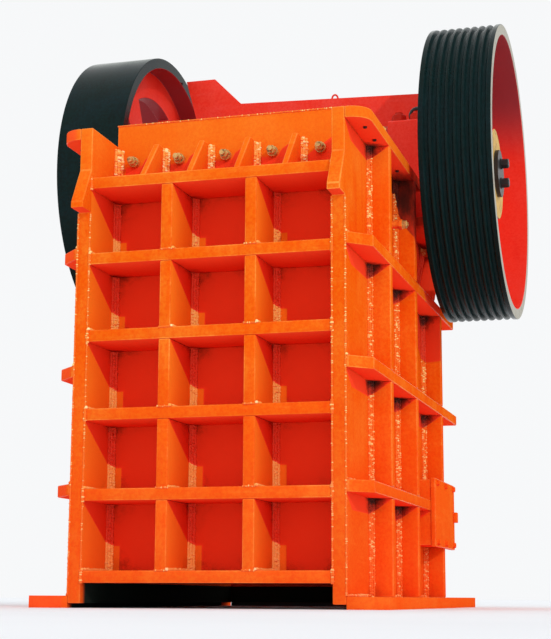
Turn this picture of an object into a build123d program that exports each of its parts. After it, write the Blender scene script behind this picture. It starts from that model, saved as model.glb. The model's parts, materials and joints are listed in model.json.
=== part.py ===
"""A jaw crusher with a welded, ribbed frame, a swing jaw on an eccentric shaft, a flywheel and a belt pulley.

Millimetres. +X is the pulley side, +Y runs from the ribbed front wall to the rear, +Z is up.
The origin is at ground level, under the middle of the machine. Depths are measured back from the
front edges of the side plates, and FRONT_Y turns them into Y.
"""
from math import atan2, cos, hypot, radians, sin, sqrt
import os

from build123d import *

# Frame plates
FRAME_WIDTH = 1260
FRAME_DEPTH = 2305
SIDE_THICK = 60
SIDE_BOTTOM = 20
SIDE_ABOVE_SEAT = 182
REAR_BELOW_SEAT = 370
RIB_THICK = 54
WALL_THICK = 60

# Front wall and its grid of ribs
FRONT_RIB_REACH = 305
FRONT_RIB_DROP = 241
FRONT_RIB_BOTTOM = 162
FRONT_ROWS = 5
FRONT_COLUMNS = 3
FRONT_WALL_RISE = 100
GUSSET_COUNT = 4
GUSSET_THICK = 28
GUSSET_HEIGHT = 210
GUSSET_SETBACK = 40
GUSSET_TOP = 78
GUSSET_PITCH = 227
NOSE_REACH = 92
NOSE_DROP = 203
NOSE_HEIGHT = 201
NOSE_BLUNT = 29

# Ribs and feet on the outside of each side plate
SIDE_RIB_REACH = 105
SIDE_RIB_LIP = 10
SIDE_RIB_SHARES = (1, 0.733, 0.478, 0.229)
SEAT_GAP = 20
SECOND_RIB_SETBACK = 58
POST_DEPTHS = (463, 1083, 1803)
POST_THICK = 50
BRACE_WIDTH = 64
BRACE_RUN = 271
BRACE_AHEAD = 102
FOOT_REACH = 184
FOOT_THICK = 53
FOOT_OVERHANG = 60
ANCHOR_HOLE = 44
ANCHOR_INSET = 150
ANCHOR_FROM_EDGE = 74

# Inspection window on each side
WINDOW_START = 1439
WINDOW_LENGTH = 583
WINDOW_LOW = 315
WINDOW_HIGH = 649
WINDOW_WALL = 40
COVER_THICK = 24
COVER_LIP = 8

# Eccentric shaft and its bearings
SHAFT_BEHIND_FEED = 465
SHAFT_HEIGHT = 2316
JOURNAL_RADIUS = 150
CRANK_RADIUS = 170
CRANK_THROW = 15
CRANK_SIDE_GAP = 6
HUB_SEAT_RADIUS = 120
RUNNING_CLEARANCE = 0.05
BEARING_HALF_LENGTH = 330
BEARING_RISE = 306
BEARING_CAP_RISE = 244
BEARING_CHAMFER = 12
BEARING_INNER = 545
BEARING_OUTER = 755
BEARING_CAP_RADIUS = 240
BEARING_CAP_THICK = 20
SEAT_THICK = 50
SEAT_MARGIN = 30

# Flywheel and belt pulley
WHEEL_RADIUS = 795
WHEEL_INNER_FACE = 792
WHEEL_WIDTH = 365
RIM_THICK = 58
WEB_THICK = 70
WEB_INSET = 108
HUB_RADIUS = 245
HUB_INSET = 12
HUB_SHORT = 77
SPOKE_COUNT = 5
WINDOW_INNER_RADIUS = 335
WINDOW_OUTER_RADIUS = 580
WINDOW_ANGLE = 50
FLYWHEEL_TURN = 94
PULLEY_TURN = 36
GROOVE_COUNT = 8
GROOVE_PITCH = 41
GROOVE_DEPTH = 27
GROOVE_TOP = 31
GROOVE_FLOOR = 16
END_PLATE_RADIUS = 128
END_PLATE_THICK = 22

# Crushing chamber
CHAMBER_WIDTH = 1060
LINER_GAP = 5
JAW_PLATE_THICK = 62
TOOTH_HEIGHT = 40
TOOTH_COUNT = 8
FIXED_JAW_LOW = 300
FIXED_JAW_DROP = 32
FEED_OPENING = 750
DISCHARGE_OPENING = 105
SWING_JAW_LOW = 330
SWING_JAW_DROP = 62
CHEEK_LOW = 330
CHEEK_DROP = 42
CHEEK_FOOT = 355
CHEEK_HEAD = 835

# Swing jaw casting
SWING_HALF_WIDTH = 515
BOSS_RADIUS = 320
BOSS_HALF_WIDTH = 525
CASTING_THICK = 215
POCKET_WALL = 70
POCKET_RIB = 60
POCKET_FLOOR = 80

# Rear wall, toggle and tension rod
REAR_WALL_SET = 120
REAR_WALL_LOW = 350
REAR_SILL_HIGH = 130
REAR_WALL_DROP = 190
REAR_RIB_REACH = 60
REAR_ROWS = 3
REAR_COLUMNS = 3
TOGGLE_SEAT_LENGTH = 140
TOGGLE_SEAT_HALF_WIDTH = 480
TOGGLE_SEAT_LOW = 640
TOGGLE_SEAT_HIGH = 860
TOGGLE_THICK = 70
TOGGLE_HALF_WIDTH = 440
TOGGLE_GAP = 45
ROD_RADIUS = 35
ROD_HEIGHT = 235
ROD_FRONT = 1010
ROD_OVERHANG = 258
ROD_BRACKET_HALF = 110
ROD_BRACKET_LOW = 130
ROD_HOLE_RADIUS = 42
SPRING_RADIUS = 82
SPRING_BORE = 52
SPRING_LENGTH = 150
NUT_RADIUS = 92
NUT_THICK = 52

# Shaft guard on top of the bearings
GUARD_THICK = 16
GUARD_BEHIND = 178
GUARD_HALF_WIDTH = 742
GUARD_LEFT_LOW = 640
GUARD_LEFT_HIGH = 780
GUARD_RIGHT_HEIGHT = 311
GUARD_STEP_HEIGHT = 351
GUARD_RAISED_HEIGHT = 517
GUARD_STEP_LOW = 438
GUARD_STEP_HIGH = 601
GUARD_CLEARANCE = 20
GUARD_FOOT = 60

# Worked out from the sizes above
SIDE_OUT = FRAME_WIDTH / 2
SIDE_IN = SIDE_OUT - SIDE_THICK
REAR_END = FRAME_DEPTH + ROD_OVERHANG
FRONT_WALL_BACK = FRONT_RIB_REACH + WALL_THICK
FIXED_FACE = FRONT_WALL_BACK + JAW_PLATE_THICK + TOOTH_HEIGHT
SHAFT_DEPTH = FIXED_FACE + FEED_OPENING + SHAFT_BEHIND_FEED
BEARING_BASE = SHAFT_HEIGHT - BEARING_RISE
BEARING_TOP = SHAFT_HEIGHT + BEARING_CAP_RISE
SEAT_FRONT = SHAFT_DEPTH - BEARING_HALF_LENGTH - SEAT_MARGIN
SEAT_BACK = SHAFT_DEPTH + BEARING_HALF_LENGTH + SEAT_MARGIN
SIDE_TOP = BEARING_BASE + SIDE_ABOVE_SEAT
REAR_TOP = BEARING_BASE - REAR_BELOW_SEAT
FRONT_RIB_TOP = SIDE_TOP - FRONT_RIB_DROP
FRONT_WALL_TOP = SIDE_TOP + FRONT_WALL_RISE
NOSE_START = SIDE_TOP - NOSE_DROP
NOSE_BOTTOM = NOSE_START - NOSE_HEIGHT
NOSE_TIP_TOP = NOSE_BOTTOM + NOSE_BLUNT
FOOT_DEPTH = FRAME_DEPTH + FOOT_OVERHANG
FIXED_JAW_HIGH = SIDE_TOP - FIXED_JAW_DROP
SWING_JAW_HIGH = SIDE_TOP - SWING_JAW_DROP
CHEEK_HIGH = SIDE_TOP - CHEEK_DROP
REAR_WALL_HIGH = REAR_TOP - REAR_WALL_DROP
GUARD_DEPTH = SHAFT_DEPTH + GUARD_BEHIND
GUARD_UNDER = SHAFT_HEIGHT + sqrt((BOSS_RADIUS + CRANK_THROW + GUARD_CLEARANCE) ** 2 - GUARD_BEHIND**2)
GUARD_RIGHT_TOP = BEARING_TOP + GUARD_RIGHT_HEIGHT
GUARD_STEP_TOP = BEARING_TOP + GUARD_STEP_HEIGHT
GUARD_RAISED_TOP = BEARING_TOP + GUARD_RAISED_HEIGHT
FRONT_Y = -(REAR_END - NOSE_REACH) / 2
SHAFT_Y = FRONT_Y + SHAFT_DEPTH
POST_REACH = SIDE_OUT + SIDE_RIB_REACH
SIDE_RIB_TOPS = [FOOT_THICK + share * (SIDE_TOP - FOOT_THICK) for share in SIDE_RIB_SHARES]
SIDE_RIB_ENDS = [SEAT_FRONT - SEAT_GAP, FRAME_DEPTH - SECOND_RIB_SETBACK, FRAME_DEPTH, WINDOW_START]
WINDOW_REACH = SIDE_RIB_REACH
WINDOW_END = WINDOW_START + WINDOW_LENGTH
WHEEL_OUTER_FACE = WHEEL_INNER_FACE + WHEEL_WIDTH
SHAFT_END = WHEEL_OUTER_FACE - HUB_SHORT
CHEEK_FACE = CHAMBER_WIDTH / 2
JAW_LEAN = atan2(FEED_OPENING - DISCHARGE_OPENING, SWING_JAW_HIGH - SWING_JAW_LOW)
JAW_LENGTH = hypot(FEED_OPENING - DISCHARGE_OPENING, SWING_JAW_HIGH - SWING_JAW_LOW)
REAR_WALL_FRONT = FRAME_DEPTH - REAR_WALL_SET
REAR_WALL_BACK = REAR_WALL_FRONT + WALL_THICK
REAR_RIB_END = REAR_WALL_BACK + REAR_RIB_REACH


def block(x, depth, z):
    """A plain block between two values on each axis, with depths measured from the front."""
    size = Box(x[1] - x[0], depth[1] - depth[0], z[1] - z[0])
    return Pos((x[0] + x[1]) / 2, FRONT_Y + (depth[0] + depth[1]) / 2, (z[0] + z[1]) / 2) * size


def side_profile(points, x):
    """An outline of (depth, height) points, extruded across the machine from x[0] to x[1]."""
    outline = Polyline(*[(x[0], FRONT_Y + depth, z) for depth, z in points], close=True)
    return extrude(make_face(outline), amount=x[1] - x[0], dir=(1, 0, 0))


def cross_rod(radius, x, depth, z):
    """A cylinder that lies along X."""
    return Pos((x[0] + x[1]) / 2, FRONT_Y + depth, z) * Rot(0, 90, 0) * Cylinder(radius, x[1] - x[0])


def long_rod(radius, depth, z):
    """A cylinder that lies along Y, in the middle of the machine."""
    return Pos(0, FRONT_Y + sum(depth) / 2, z) * Rot(90, 0, 0) * Cylinder(radius, depth[1] - depth[0])


def sides(x0, x1):
    """The same span of X on the left and on the right side."""
    return {"left": (-x1, -x0), "right": (x0, x1)}


def save(name, *solids):
    """Writes one node, as one solid or as several that don't touch."""
    shape = solids[0] if len(solids) == 1 else Compound(children=[Part(s.wrapped) for s in solids])
    export_step(shape, f"parts/{name}.step")


def make_side_plates():
    outline = [
        (0, SIDE_BOTTOM),
        (0, NOSE_BOTTOM),
        (-NOSE_REACH, NOSE_BOTTOM),
        (-NOSE_REACH, NOSE_TIP_TOP),
        (0, NOSE_START),
        (0, SIDE_TOP),
        (SEAT_FRONT, SIDE_TOP),
        (SEAT_FRONT, BEARING_BASE),
        (SEAT_BACK, BEARING_BASE),
        (FRAME_DEPTH, REAR_TOP),
        (FRAME_DEPTH, SIDE_BOTTOM),
    ]
    for side, x in sides(SIDE_IN, SIDE_OUT).items():
        save(f"side_plate_{side}", side_profile(outline, x))


def make_feet():
    for side, x in sides(SIDE_OUT, SIDE_OUT + FOOT_REACH).items():
        foot = block(x, (0, FOOT_DEPTH), (0, FOOT_THICK))
        edge = max(x, key=abs)
        hole_x = edge - ANCHOR_FROM_EDGE if edge > 0 else edge + ANCHOR_FROM_EDGE
        for depth in (ANCHOR_INSET, FOOT_DEPTH - ANCHOR_INSET):
            foot -= Pos(hole_x, FRONT_Y + depth, FOOT_THICK / 2) * Cylinder(ANCHOR_HOLE / 2, 2 * FOOT_THICK)
        save(f"foot_{side}", foot)


def rib_tops(top, bottom, rows):
    """Heights of the upper faces of ribs, from the top one down."""
    return [top - row * (top - bottom) / rows for row in range(rows + 1)]


def post_centres(columns):
    """Places across the machine of the posts that divide the inside width into equal columns."""
    pocket = (2 * SIDE_IN - (columns - 1) * RIB_THICK) / columns
    return [-SIDE_IN + (post + 1) * pocket + (post + 0.5) * RIB_THICK for post in range(columns - 1)]


def make_front_wall():
    low = FRONT_RIB_BOTTOM - RIB_THICK
    inside = (-SIDE_IN, SIDE_IN)
    save("front_wall", block(inside, (FRONT_RIB_REACH, FRONT_WALL_BACK), (low, FRONT_WALL_TOP)))
    tops = rib_tops(FRONT_RIB_TOP, FRONT_RIB_BOTTOM, FRONT_ROWS)
    for number, top in enumerate(tops, start=1):
        save(f"front_rib_{number}", block(inside, (0, FRONT_RIB_REACH), (top - RIB_THICK, top)))
    for number, x in enumerate(post_centres(FRONT_COLUMNS), start=1):
        span = (x - RIB_THICK / 2, x + RIB_THICK / 2)
        gaps = [(below, above - RIB_THICK) for above, below in zip(tops, tops[1:])]
        save(f"front_posts_{number}", *[block(span, (0, FRONT_RIB_REACH), gap) for gap in gaps])


def make_front_gussets():
    outline = [
        (GUSSET_SETBACK, FRONT_RIB_TOP),
        (FRONT_RIB_REACH, FRONT_RIB_TOP),
        (FRONT_RIB_REACH, FRONT_RIB_TOP + GUSSET_HEIGHT),
        (FRONT_RIB_REACH - GUSSET_TOP, FRONT_RIB_TOP + GUSSET_HEIGHT),
    ]
    first = -(GUSSET_COUNT - 1) / 2 * GUSSET_PITCH
    centres = [first + number * GUSSET_PITCH for number in range(GUSSET_COUNT)]
    save(
        "front_gussets",
        *[side_profile(outline, (x - GUSSET_THICK / 2, x + GUSSET_THICK / 2)) for x in centres],
    )


def rib_plan(sign, end, rounded):
    """Plan of a rib on the outside of a side plate, with its front corner rounded or cut off."""
    corner = SIDE_RIB_REACH - SIDE_RIB_LIP
    near, far = sign * SIDE_OUT, sign * POST_REACH
    lip = (sign * (SIDE_OUT + SIDE_RIB_LIP), FRONT_Y)
    turn = (far, FRONT_Y + corner)
    middle = (
        sign * (SIDE_OUT + SIDE_RIB_LIP + corner * sin(radians(45))),
        FRONT_Y + corner * (1 - cos(radians(45))),
    )
    edge = ThreePointArc(lip, middle, turn) if rounded else Line(lip, turn)
    rest = Polyline(turn, (far, FRONT_Y + end), (near, FRONT_Y + end), (near, FRONT_Y), lip)
    return make_face([*rest.edges(), *edge.edges()])


def make_side_ribs():
    for side, sign in (("left", -1), ("right", 1)):
        ribs = []
        for row, (top, end) in enumerate(zip(SIDE_RIB_TOPS, SIDE_RIB_ENDS)):
            plan = rib_plan(sign, end, rounded=row == 0)
            ribs.append(Pos(0, 0, top - RIB_THICK) * extrude(plan, amount=RIB_THICK, dir=(0, 0, 1)))
        save(f"side_ribs_{side}", *ribs)


def make_side_posts():
    foot = SHAFT_DEPTH - BRACE_AHEAD
    low, high = SIDE_RIB_TOPS[1], BEARING_BASE - SEAT_THICK
    brace = [
        (foot, low),
        (foot + BRACE_WIDTH, low),
        (foot + BRACE_WIDTH + BRACE_RUN, high),
        (foot + BRACE_RUN, high),
    ]
    for side, x in sides(SIDE_OUT, POST_REACH).items():
        pieces = [side_profile(brace, x)]
        for depth in POST_DEPTHS:
            reached = [top for top, end in zip(SIDE_RIB_TOPS, SIDE_RIB_ENDS) if depth + POST_THICK <= end]
            stops = [(top - RIB_THICK, top) for top in reached]
            if WINDOW_START < depth + POST_THICK and depth < WINDOW_END:
                stops.append((WINDOW_LOW, WINDOW_HIGH))
            stops.append((0, FOOT_THICK))
            for above, below in zip(stops, stops[1:]):
                pieces.append(block(x, (depth, depth + POST_THICK), (below[1], above[0])))
        save(f"side_posts_{side}", *pieces)


def make_side_windows():
    for side, x in sides(SIDE_OUT, SIDE_OUT + WINDOW_REACH).items():
        box = block(x, (WINDOW_START, WINDOW_END), (WINDOW_LOW, WINDOW_HIGH))
        hole_depth = (WINDOW_START + WINDOW_WALL, WINDOW_END - WINDOW_WALL)
        hole_height = (WINDOW_LOW + WINDOW_WALL, WINDOW_HIGH - WINDOW_WALL)
        save(f"window_frame_{side}", box - block((2 * x[0] - x[1], 2 * x[1] - x[0]), hole_depth, hole_height))
    reach = SIDE_OUT + WINDOW_REACH
    for side, x in sides(reach, reach + COVER_THICK).items():
        cover_depth = (WINDOW_START - COVER_LIP, WINDOW_END + COVER_LIP)
        save(f"window_cover_{side}", block(x, cover_depth, (WINDOW_LOW - COVER_LIP, WINDOW_HIGH + COVER_LIP)))


def make_bearings():
    front, back = SHAFT_DEPTH - BEARING_HALF_LENGTH, SHAFT_DEPTH + BEARING_HALF_LENGTH
    outline = [
        (front, BEARING_BASE),
        (back, BEARING_BASE),
        (back, BEARING_TOP - BEARING_CHAMFER),
        (back - BEARING_CHAMFER, BEARING_TOP),
        (front + BEARING_CHAMFER, BEARING_TOP),
        (front, BEARING_TOP - BEARING_CHAMFER),
    ]
    through = (-WHEEL_OUTER_FACE, WHEEL_OUTER_FACE)
    bore = cross_rod(JOURNAL_RADIUS + RUNNING_CLEARANCE, through, SHAFT_DEPTH, SHAFT_HEIGHT)
    caps = sides(BEARING_OUTER, BEARING_OUTER + BEARING_CAP_THICK)
    for side, x in sides(BEARING_INNER, BEARING_OUTER).items():
        cap = cross_rod(BEARING_CAP_RADIUS, caps[side], SHAFT_DEPTH, SHAFT_HEIGHT)
        save(f"bearing_{side}", side_profile(outline, x) + cap - bore)
    for side, x in sides(SIDE_OUT, BEARING_OUTER).items():
        height = (BEARING_BASE - SEAT_THICK, BEARING_BASE)
        save(f"bearing_seat_{side}", block(x, (SEAT_FRONT, SEAT_BACK), height))


def make_shaft():
    crank_end = BEARING_INNER - CRANK_SIDE_GAP
    crank = cross_rod(CRANK_RADIUS, (-crank_end, crank_end), SHAFT_DEPTH, SHAFT_HEIGHT - CRANK_THROW)
    journal_end = WHEEL_INNER_FACE + HUB_INSET
    journal = cross_rod(JOURNAL_RADIUS, (-journal_end, journal_end), SHAFT_DEPTH, SHAFT_HEIGHT)
    ends = cross_rod(HUB_SEAT_RADIUS, (-SHAFT_END, SHAFT_END), SHAFT_DEPTH, SHAFT_HEIGHT)
    save("eccentric_shaft", crank + journal + ends)
    plates = sides(SHAFT_END, SHAFT_END + END_PLATE_THICK)
    save(
        "shaft_end_plates",
        *[cross_rod(END_PLATE_RADIUS, x, SHAFT_DEPTH, SHAFT_HEIGHT) for x in plates.values()],
    )


def wheel_window(angle):
    """The hole between two spokes, as a cutter that runs right through the wheel."""
    half = radians(WINDOW_ANGLE / 2)

    def at(radius, turn):
        a = radians(angle) + turn
        return (0, SHAFT_Y + radius * cos(a), SHAFT_HEIGHT + radius * sin(a))

    inner, outer = WINDOW_INNER_RADIUS, WINDOW_OUTER_RADIUS
    edges = [
        ThreePointArc(at(inner, -half), at(inner, 0), at(inner, half)),
        Line(at(inner, half), at(outer, half)),
        ThreePointArc(at(outer, half), at(outer, 0), at(outer, -half)),
        Line(at(outer, -half), at(inner, -half)),
    ]
    return extrude(make_face(edges), amount=WHEEL_OUTER_FACE, dir=(1, 0, 0), both=True)


def wheel(rim_outline, turn):
    """A rim, web and hub on the +X side. rim_outline goes from the outer edge in and turn places a window."""
    bore = HUB_SEAT_RADIUS + RUNNING_CLEARANCE
    web = (WHEEL_INNER_FACE + WEB_INSET, WHEEL_INNER_FACE + WEB_INSET + WEB_THICK)
    rim_inside = WHEEL_RADIUS - RIM_THICK
    hub = (WHEEL_INNER_FACE + HUB_INSET, SHAFT_END)
    outline = [
        *rim_outline,
        (WHEEL_INNER_FACE, rim_inside),
        (web[0], rim_inside),
        (web[0], HUB_RADIUS),
        (hub[0], HUB_RADIUS),
        (hub[0], bore),
        (hub[1], bore),
        (hub[1], HUB_RADIUS),
        (web[1], HUB_RADIUS),
        (web[1], rim_inside),
        (WHEEL_OUTER_FACE, rim_inside),
    ]
    turned = revolve(make_face(Polyline(*outline, close=True)), Axis.X)
    made = Pos(0, SHAFT_Y, SHAFT_HEIGHT) * turned
    for spoke in range(SPOKE_COUNT):
        made -= wheel_window(turn + spoke * 360 / SPOKE_COUNT)
    return made


def make_wheels():
    plain = [(WHEEL_OUTER_FACE, WHEEL_RADIUS), (WHEEL_INNER_FACE, WHEEL_RADIUS)]
    save("flywheel", mirror(wheel(plain, FLYWHEEL_TURN), about=Plane.YZ))
    grooved = [(WHEEL_OUTER_FACE, WHEEL_RADIUS)]
    middle = WHEEL_INNER_FACE + WHEEL_WIDTH / 2
    for number in range(GROOVE_COUNT):
        centre = middle + ((GROOVE_COUNT - 1) / 2 - number) * GROOVE_PITCH
        grooved += [
            (centre + GROOVE_TOP / 2, WHEEL_RADIUS),
            (centre + GROOVE_FLOOR / 2, WHEEL_RADIUS - GROOVE_DEPTH),
            (centre - GROOVE_FLOOR / 2, WHEEL_RADIUS - GROOVE_DEPTH),
            (centre - GROOVE_TOP / 2, WHEEL_RADIUS),
        ]
    grooved.append((WHEEL_INNER_FACE, WHEEL_RADIUS))
    save("belt_pulley", wheel(grooved, PULLEY_TURN))


def jaw_section():
    """Plan of a toothed jaw plate: its back is at 0 and its tooth tips at the full thickness, towards -Y."""
    half = CHEEK_FACE - LINER_GAP
    pitch = 2 * half / TOOTH_COUNT
    points = [(-half, 0), (half, 0), (half, -JAW_PLATE_THICK)]
    for tooth in range(TOOTH_COUNT):
        right = half - tooth * pitch
        points.append((right - pitch * 0.35, -JAW_PLATE_THICK - TOOTH_HEIGHT))
        points.append((right - pitch * 0.65, -JAW_PLATE_THICK - TOOTH_HEIGHT))
        points.append((right - pitch, -JAW_PLATE_THICK))
    return make_face(Polyline(*points, close=True))


def make_jaw_plates():
    fixed_back = Plane((0, FRONT_Y + FRONT_WALL_BACK, FIXED_JAW_LOW), x_dir=(-1, 0, 0), z_dir=(0, 0, 1))
    height = FIXED_JAW_HIGH - FIXED_JAW_LOW
    save("fixed_jaw_plate", fixed_back * extrude(jaw_section(), amount=height, dir=(0, 0, 1)))
    thick = JAW_PLATE_THICK + TOOTH_HEIGHT
    lean = (0, sin(JAW_LEAN), cos(JAW_LEAN))
    foot_depth = FIXED_FACE + DISCHARGE_OPENING + thick * cos(JAW_LEAN)
    foot = (0, FRONT_Y + foot_depth, SWING_JAW_LOW - thick * sin(JAW_LEAN))
    swing_back = Plane(foot, x_dir=(1, 0, 0), z_dir=lean)
    save("swing_jaw_plate", swing_back * extrude(jaw_section(), amount=JAW_LENGTH, dir=(0, 0, 1)))
    return foot_depth, foot[2]


def make_cheek_plates():
    outline = [
        (FIXED_FACE, CHEEK_LOW),
        (FIXED_FACE + CHEEK_FOOT, CHEEK_LOW),
        (FIXED_FACE + CHEEK_HEAD, CHEEK_HIGH - CHEEK_FOOT),
        (FIXED_FACE + CHEEK_HEAD, CHEEK_HIGH),
        (FIXED_FACE, CHEEK_HIGH),
    ]
    for side, x in sides(CHEEK_FACE, SIDE_IN).items():
        save(f"cheek_plate_{side}", side_profile(outline, x))


def make_swing_casting(foot_depth, foot_height):
    """The casting that carries the swing jaw plate and turns on the crank of the shaft."""

    def along(distance, behind):
        """A point so far up the jaw plate's back and so far behind it."""
        return (
            foot_depth + distance * sin(JAW_LEAN) + behind * cos(JAW_LEAN),
            foot_height + distance * cos(JAW_LEAN) - behind * sin(JAW_LEAN),
        )

    crank_height = SHAFT_HEIGHT - CRANK_THROW
    outline = [
        along(0, 0),
        along(JAW_LENGTH, 0),
        (SHAFT_DEPTH, crank_height + BOSS_RADIUS * 0.6),
        (SHAFT_DEPTH + BOSS_RADIUS * 0.9, crank_height - BOSS_RADIUS * 0.3),
        along(JAW_LENGTH * 0.66, CASTING_THICK * 1.6),
        along(JAW_LENGTH * 0.12, CASTING_THICK),
        along(0, CASTING_THICK * 0.75),
    ]
    body = side_profile(outline, (-SWING_HALF_WIDTH, SWING_HALF_WIDTH))
    boss = cross_rod(BOSS_RADIUS, (-BOSS_HALF_WIDTH, BOSS_HALF_WIDTH), SHAFT_DEPTH, crank_height)
    pocket = [
        along(JAW_LENGTH * 0.2, POCKET_FLOOR),
        along(JAW_LENGTH * 0.62, POCKET_FLOOR),
        along(JAW_LENGTH * 0.62, CASTING_THICK * 3),
        along(JAW_LENGTH * 0.2, CASTING_THICK * 3),
    ]
    pocket_width = SWING_HALF_WIDTH - POCKET_WALL
    casting = body + boss
    for x in sides(POCKET_RIB / 2, pocket_width).values():
        casting -= side_profile(pocket, x)
    bore = CRANK_RADIUS + RUNNING_CLEARANCE
    casting -= cross_rod(bore, (-2 * BOSS_HALF_WIDTH, 2 * BOSS_HALF_WIDTH), SHAFT_DEPTH, crank_height)
    save("swing_jaw_casting", casting)
    return along(JAW_LENGTH * 0.12, CASTING_THICK)


def make_rear_wall():
    inside = (-SIDE_IN, SIDE_IN)
    across = (REAR_WALL_FRONT, REAR_WALL_BACK)
    wall = block(inside, across, (REAR_WALL_LOW, REAR_WALL_HIGH))
    sill = block(inside, across, (SIDE_BOTTOM, REAR_SILL_HIGH))
    save("rear_wall", wall, sill)
    tops = rib_tops(REAR_WALL_HIGH, REAR_WALL_LOW + RIB_THICK, REAR_ROWS)
    depth = (REAR_WALL_BACK, REAR_RIB_END)
    save("rear_ribs", *[block(inside, depth, (top - RIB_THICK, top)) for top in tops])
    gaps = [(below, above - RIB_THICK) for above, below in zip(tops, tops[1:])]
    posts = [
        block((x - RIB_THICK / 2, x + RIB_THICK / 2), depth, gap)
        for x in post_centres(REAR_COLUMNS)
        for gap in gaps
    ]
    save("rear_posts", *posts)


def make_toggle(joint):
    """The seat on the rear wall and the toggle plate, which stops short of the casting's joint."""
    seat = (REAR_WALL_FRONT - TOGGLE_SEAT_LENGTH, REAR_WALL_FRONT)
    across = (-TOGGLE_SEAT_HALF_WIDTH, TOGGLE_SEAT_HALF_WIDTH)
    save("toggle_seat", block(across, seat, (TOGGLE_SEAT_LOW, TOGGLE_SEAT_HIGH)))
    middle = (TOGGLE_SEAT_LOW + TOGGLE_SEAT_HIGH) / 2
    front = joint[0] + TOGGLE_GAP
    half = TOGGLE_THICK / 2
    outline = [
        (seat[0], middle - half),
        (seat[0], middle + half),
        (front, joint[1] + half),
        (front, joint[1] - half),
    ]
    save("toggle_plate", side_profile(outline, (-TOGGLE_HALF_WIDTH, TOGGLE_HALF_WIDTH)))


def make_tension_rod():
    across = (-ROD_BRACKET_HALF, ROD_BRACKET_HALF)
    bracket = block(across, (REAR_WALL_BACK, REAR_RIB_END), (ROD_BRACKET_LOW, REAR_WALL_LOW))
    save("rod_bracket", bracket - long_rod(ROD_HOLE_RADIUS, (REAR_WALL_FRONT, REAR_END), ROD_HEIGHT))
    spring_end = REAR_RIB_END + SPRING_LENGTH
    spring = long_rod(SPRING_RADIUS, (REAR_RIB_END, spring_end), ROD_HEIGHT)
    save("tension_spring", spring - long_rod(SPRING_BORE, (REAR_WALL_FRONT, REAR_END), ROD_HEIGHT))
    rod = long_rod(ROD_RADIUS, (ROD_FRONT, REAR_END), ROD_HEIGHT)
    save("tension_rod", rod + long_rod(NUT_RADIUS, (spring_end, spring_end + NUT_THICK), ROD_HEIGHT))


def make_shaft_guard():
    y = FRONT_Y + GUARD_DEPTH
    points = [
        (-GUARD_LEFT_LOW, BEARING_TOP),
        (-BEARING_INNER, BEARING_TOP),
        (-BEARING_INNER, GUARD_UNDER),
        (BEARING_INNER, GUARD_UNDER),
        (BEARING_INNER, BEARING_TOP),
        (GUARD_HALF_WIDTH, BEARING_TOP),
        (GUARD_HALF_WIDTH, GUARD_RIGHT_TOP),
        (-GUARD_STEP_LOW, GUARD_STEP_TOP),
        (-GUARD_STEP_HIGH, GUARD_RAISED_TOP),
        (-GUARD_LEFT_HIGH, GUARD_RAISED_TOP),
    ]
    outline = Polyline(*[(x, y, z) for x, z in points], close=True)
    guard = extrude(make_face(outline), amount=GUARD_THICK, dir=(0, 1, 0))
    for x in sides(BEARING_INNER, GUARD_HALF_WIDTH).values():
        guard += block(x, (GUARD_DEPTH, GUARD_DEPTH + GUARD_FOOT), (BEARING_TOP, BEARING_TOP + GUARD_THICK))
    save("shaft_guard", guard)


def main():
    os.makedirs("parts", exist_ok=True)
    make_side_plates()
    make_feet()
    make_front_wall()
    make_front_gussets()
    make_side_ribs()
    make_side_posts()
    make_side_windows()
    make_bearings()
    make_shaft()
    make_wheels()
    foot = make_jaw_plates()
    make_cheek_plates()
    joint = make_swing_casting(*foot)
    make_rear_wall()
    make_toggle(joint)
    make_tension_rod()
    make_shaft_guard()


main()
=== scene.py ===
"""Finishes the jaw crusher: paint, rounded edges, welds, bolts, spring, lifting eyes and a plain stage.

Metres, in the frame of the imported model. +X is the pulley side, +Y runs to the rear and +Z is up.
"""
import json
import math
from collections import namedtuple

import bmesh
import bpy
from mathutils import Matrix, Vector


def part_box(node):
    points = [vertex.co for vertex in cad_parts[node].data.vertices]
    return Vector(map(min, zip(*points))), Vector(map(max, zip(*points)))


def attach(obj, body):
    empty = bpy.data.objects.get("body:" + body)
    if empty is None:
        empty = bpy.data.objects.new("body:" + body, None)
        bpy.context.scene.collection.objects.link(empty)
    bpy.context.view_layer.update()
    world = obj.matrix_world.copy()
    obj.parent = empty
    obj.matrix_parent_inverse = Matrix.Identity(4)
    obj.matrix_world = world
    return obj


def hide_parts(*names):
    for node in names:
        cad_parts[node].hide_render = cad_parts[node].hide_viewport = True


bl_info = {
    "name": "Jaw crusher finish",
    "version": (1, 0, 0),
    "blender": (4, 5, 0),
    "location": "3D View > Sidebar > Crusher",
    "description": "Paints and details a ribbed jaw crusher on its packed frame",
    "category": "Object",
}

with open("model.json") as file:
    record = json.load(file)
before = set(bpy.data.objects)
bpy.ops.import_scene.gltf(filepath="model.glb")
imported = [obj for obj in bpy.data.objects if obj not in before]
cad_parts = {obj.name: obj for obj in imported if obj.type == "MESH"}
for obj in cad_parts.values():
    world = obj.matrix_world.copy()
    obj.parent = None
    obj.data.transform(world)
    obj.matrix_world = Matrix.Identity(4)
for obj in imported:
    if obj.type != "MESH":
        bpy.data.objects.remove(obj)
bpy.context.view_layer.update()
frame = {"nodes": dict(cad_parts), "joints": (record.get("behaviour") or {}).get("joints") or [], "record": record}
SLOTS = {entry["node"]: entry["material_slot"] for entry in frame["record"]["subparts"]}
BODIES = {node: body for body, nodes in frame["record"]["behaviour"]["bodies"].items() for node in nodes}
SHAFT = next(Vector(joint["pos_m"]) for joint in frame["joints"] if joint["name"] == "shaft_spin")
SIDE_SIGNS = {"left": -1, "right": 1}


def pairs(*names):
    """The left and right node of every name."""
    return [f"{name}_{side}" for name in names for side in SIDE_SIGNS]


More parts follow.
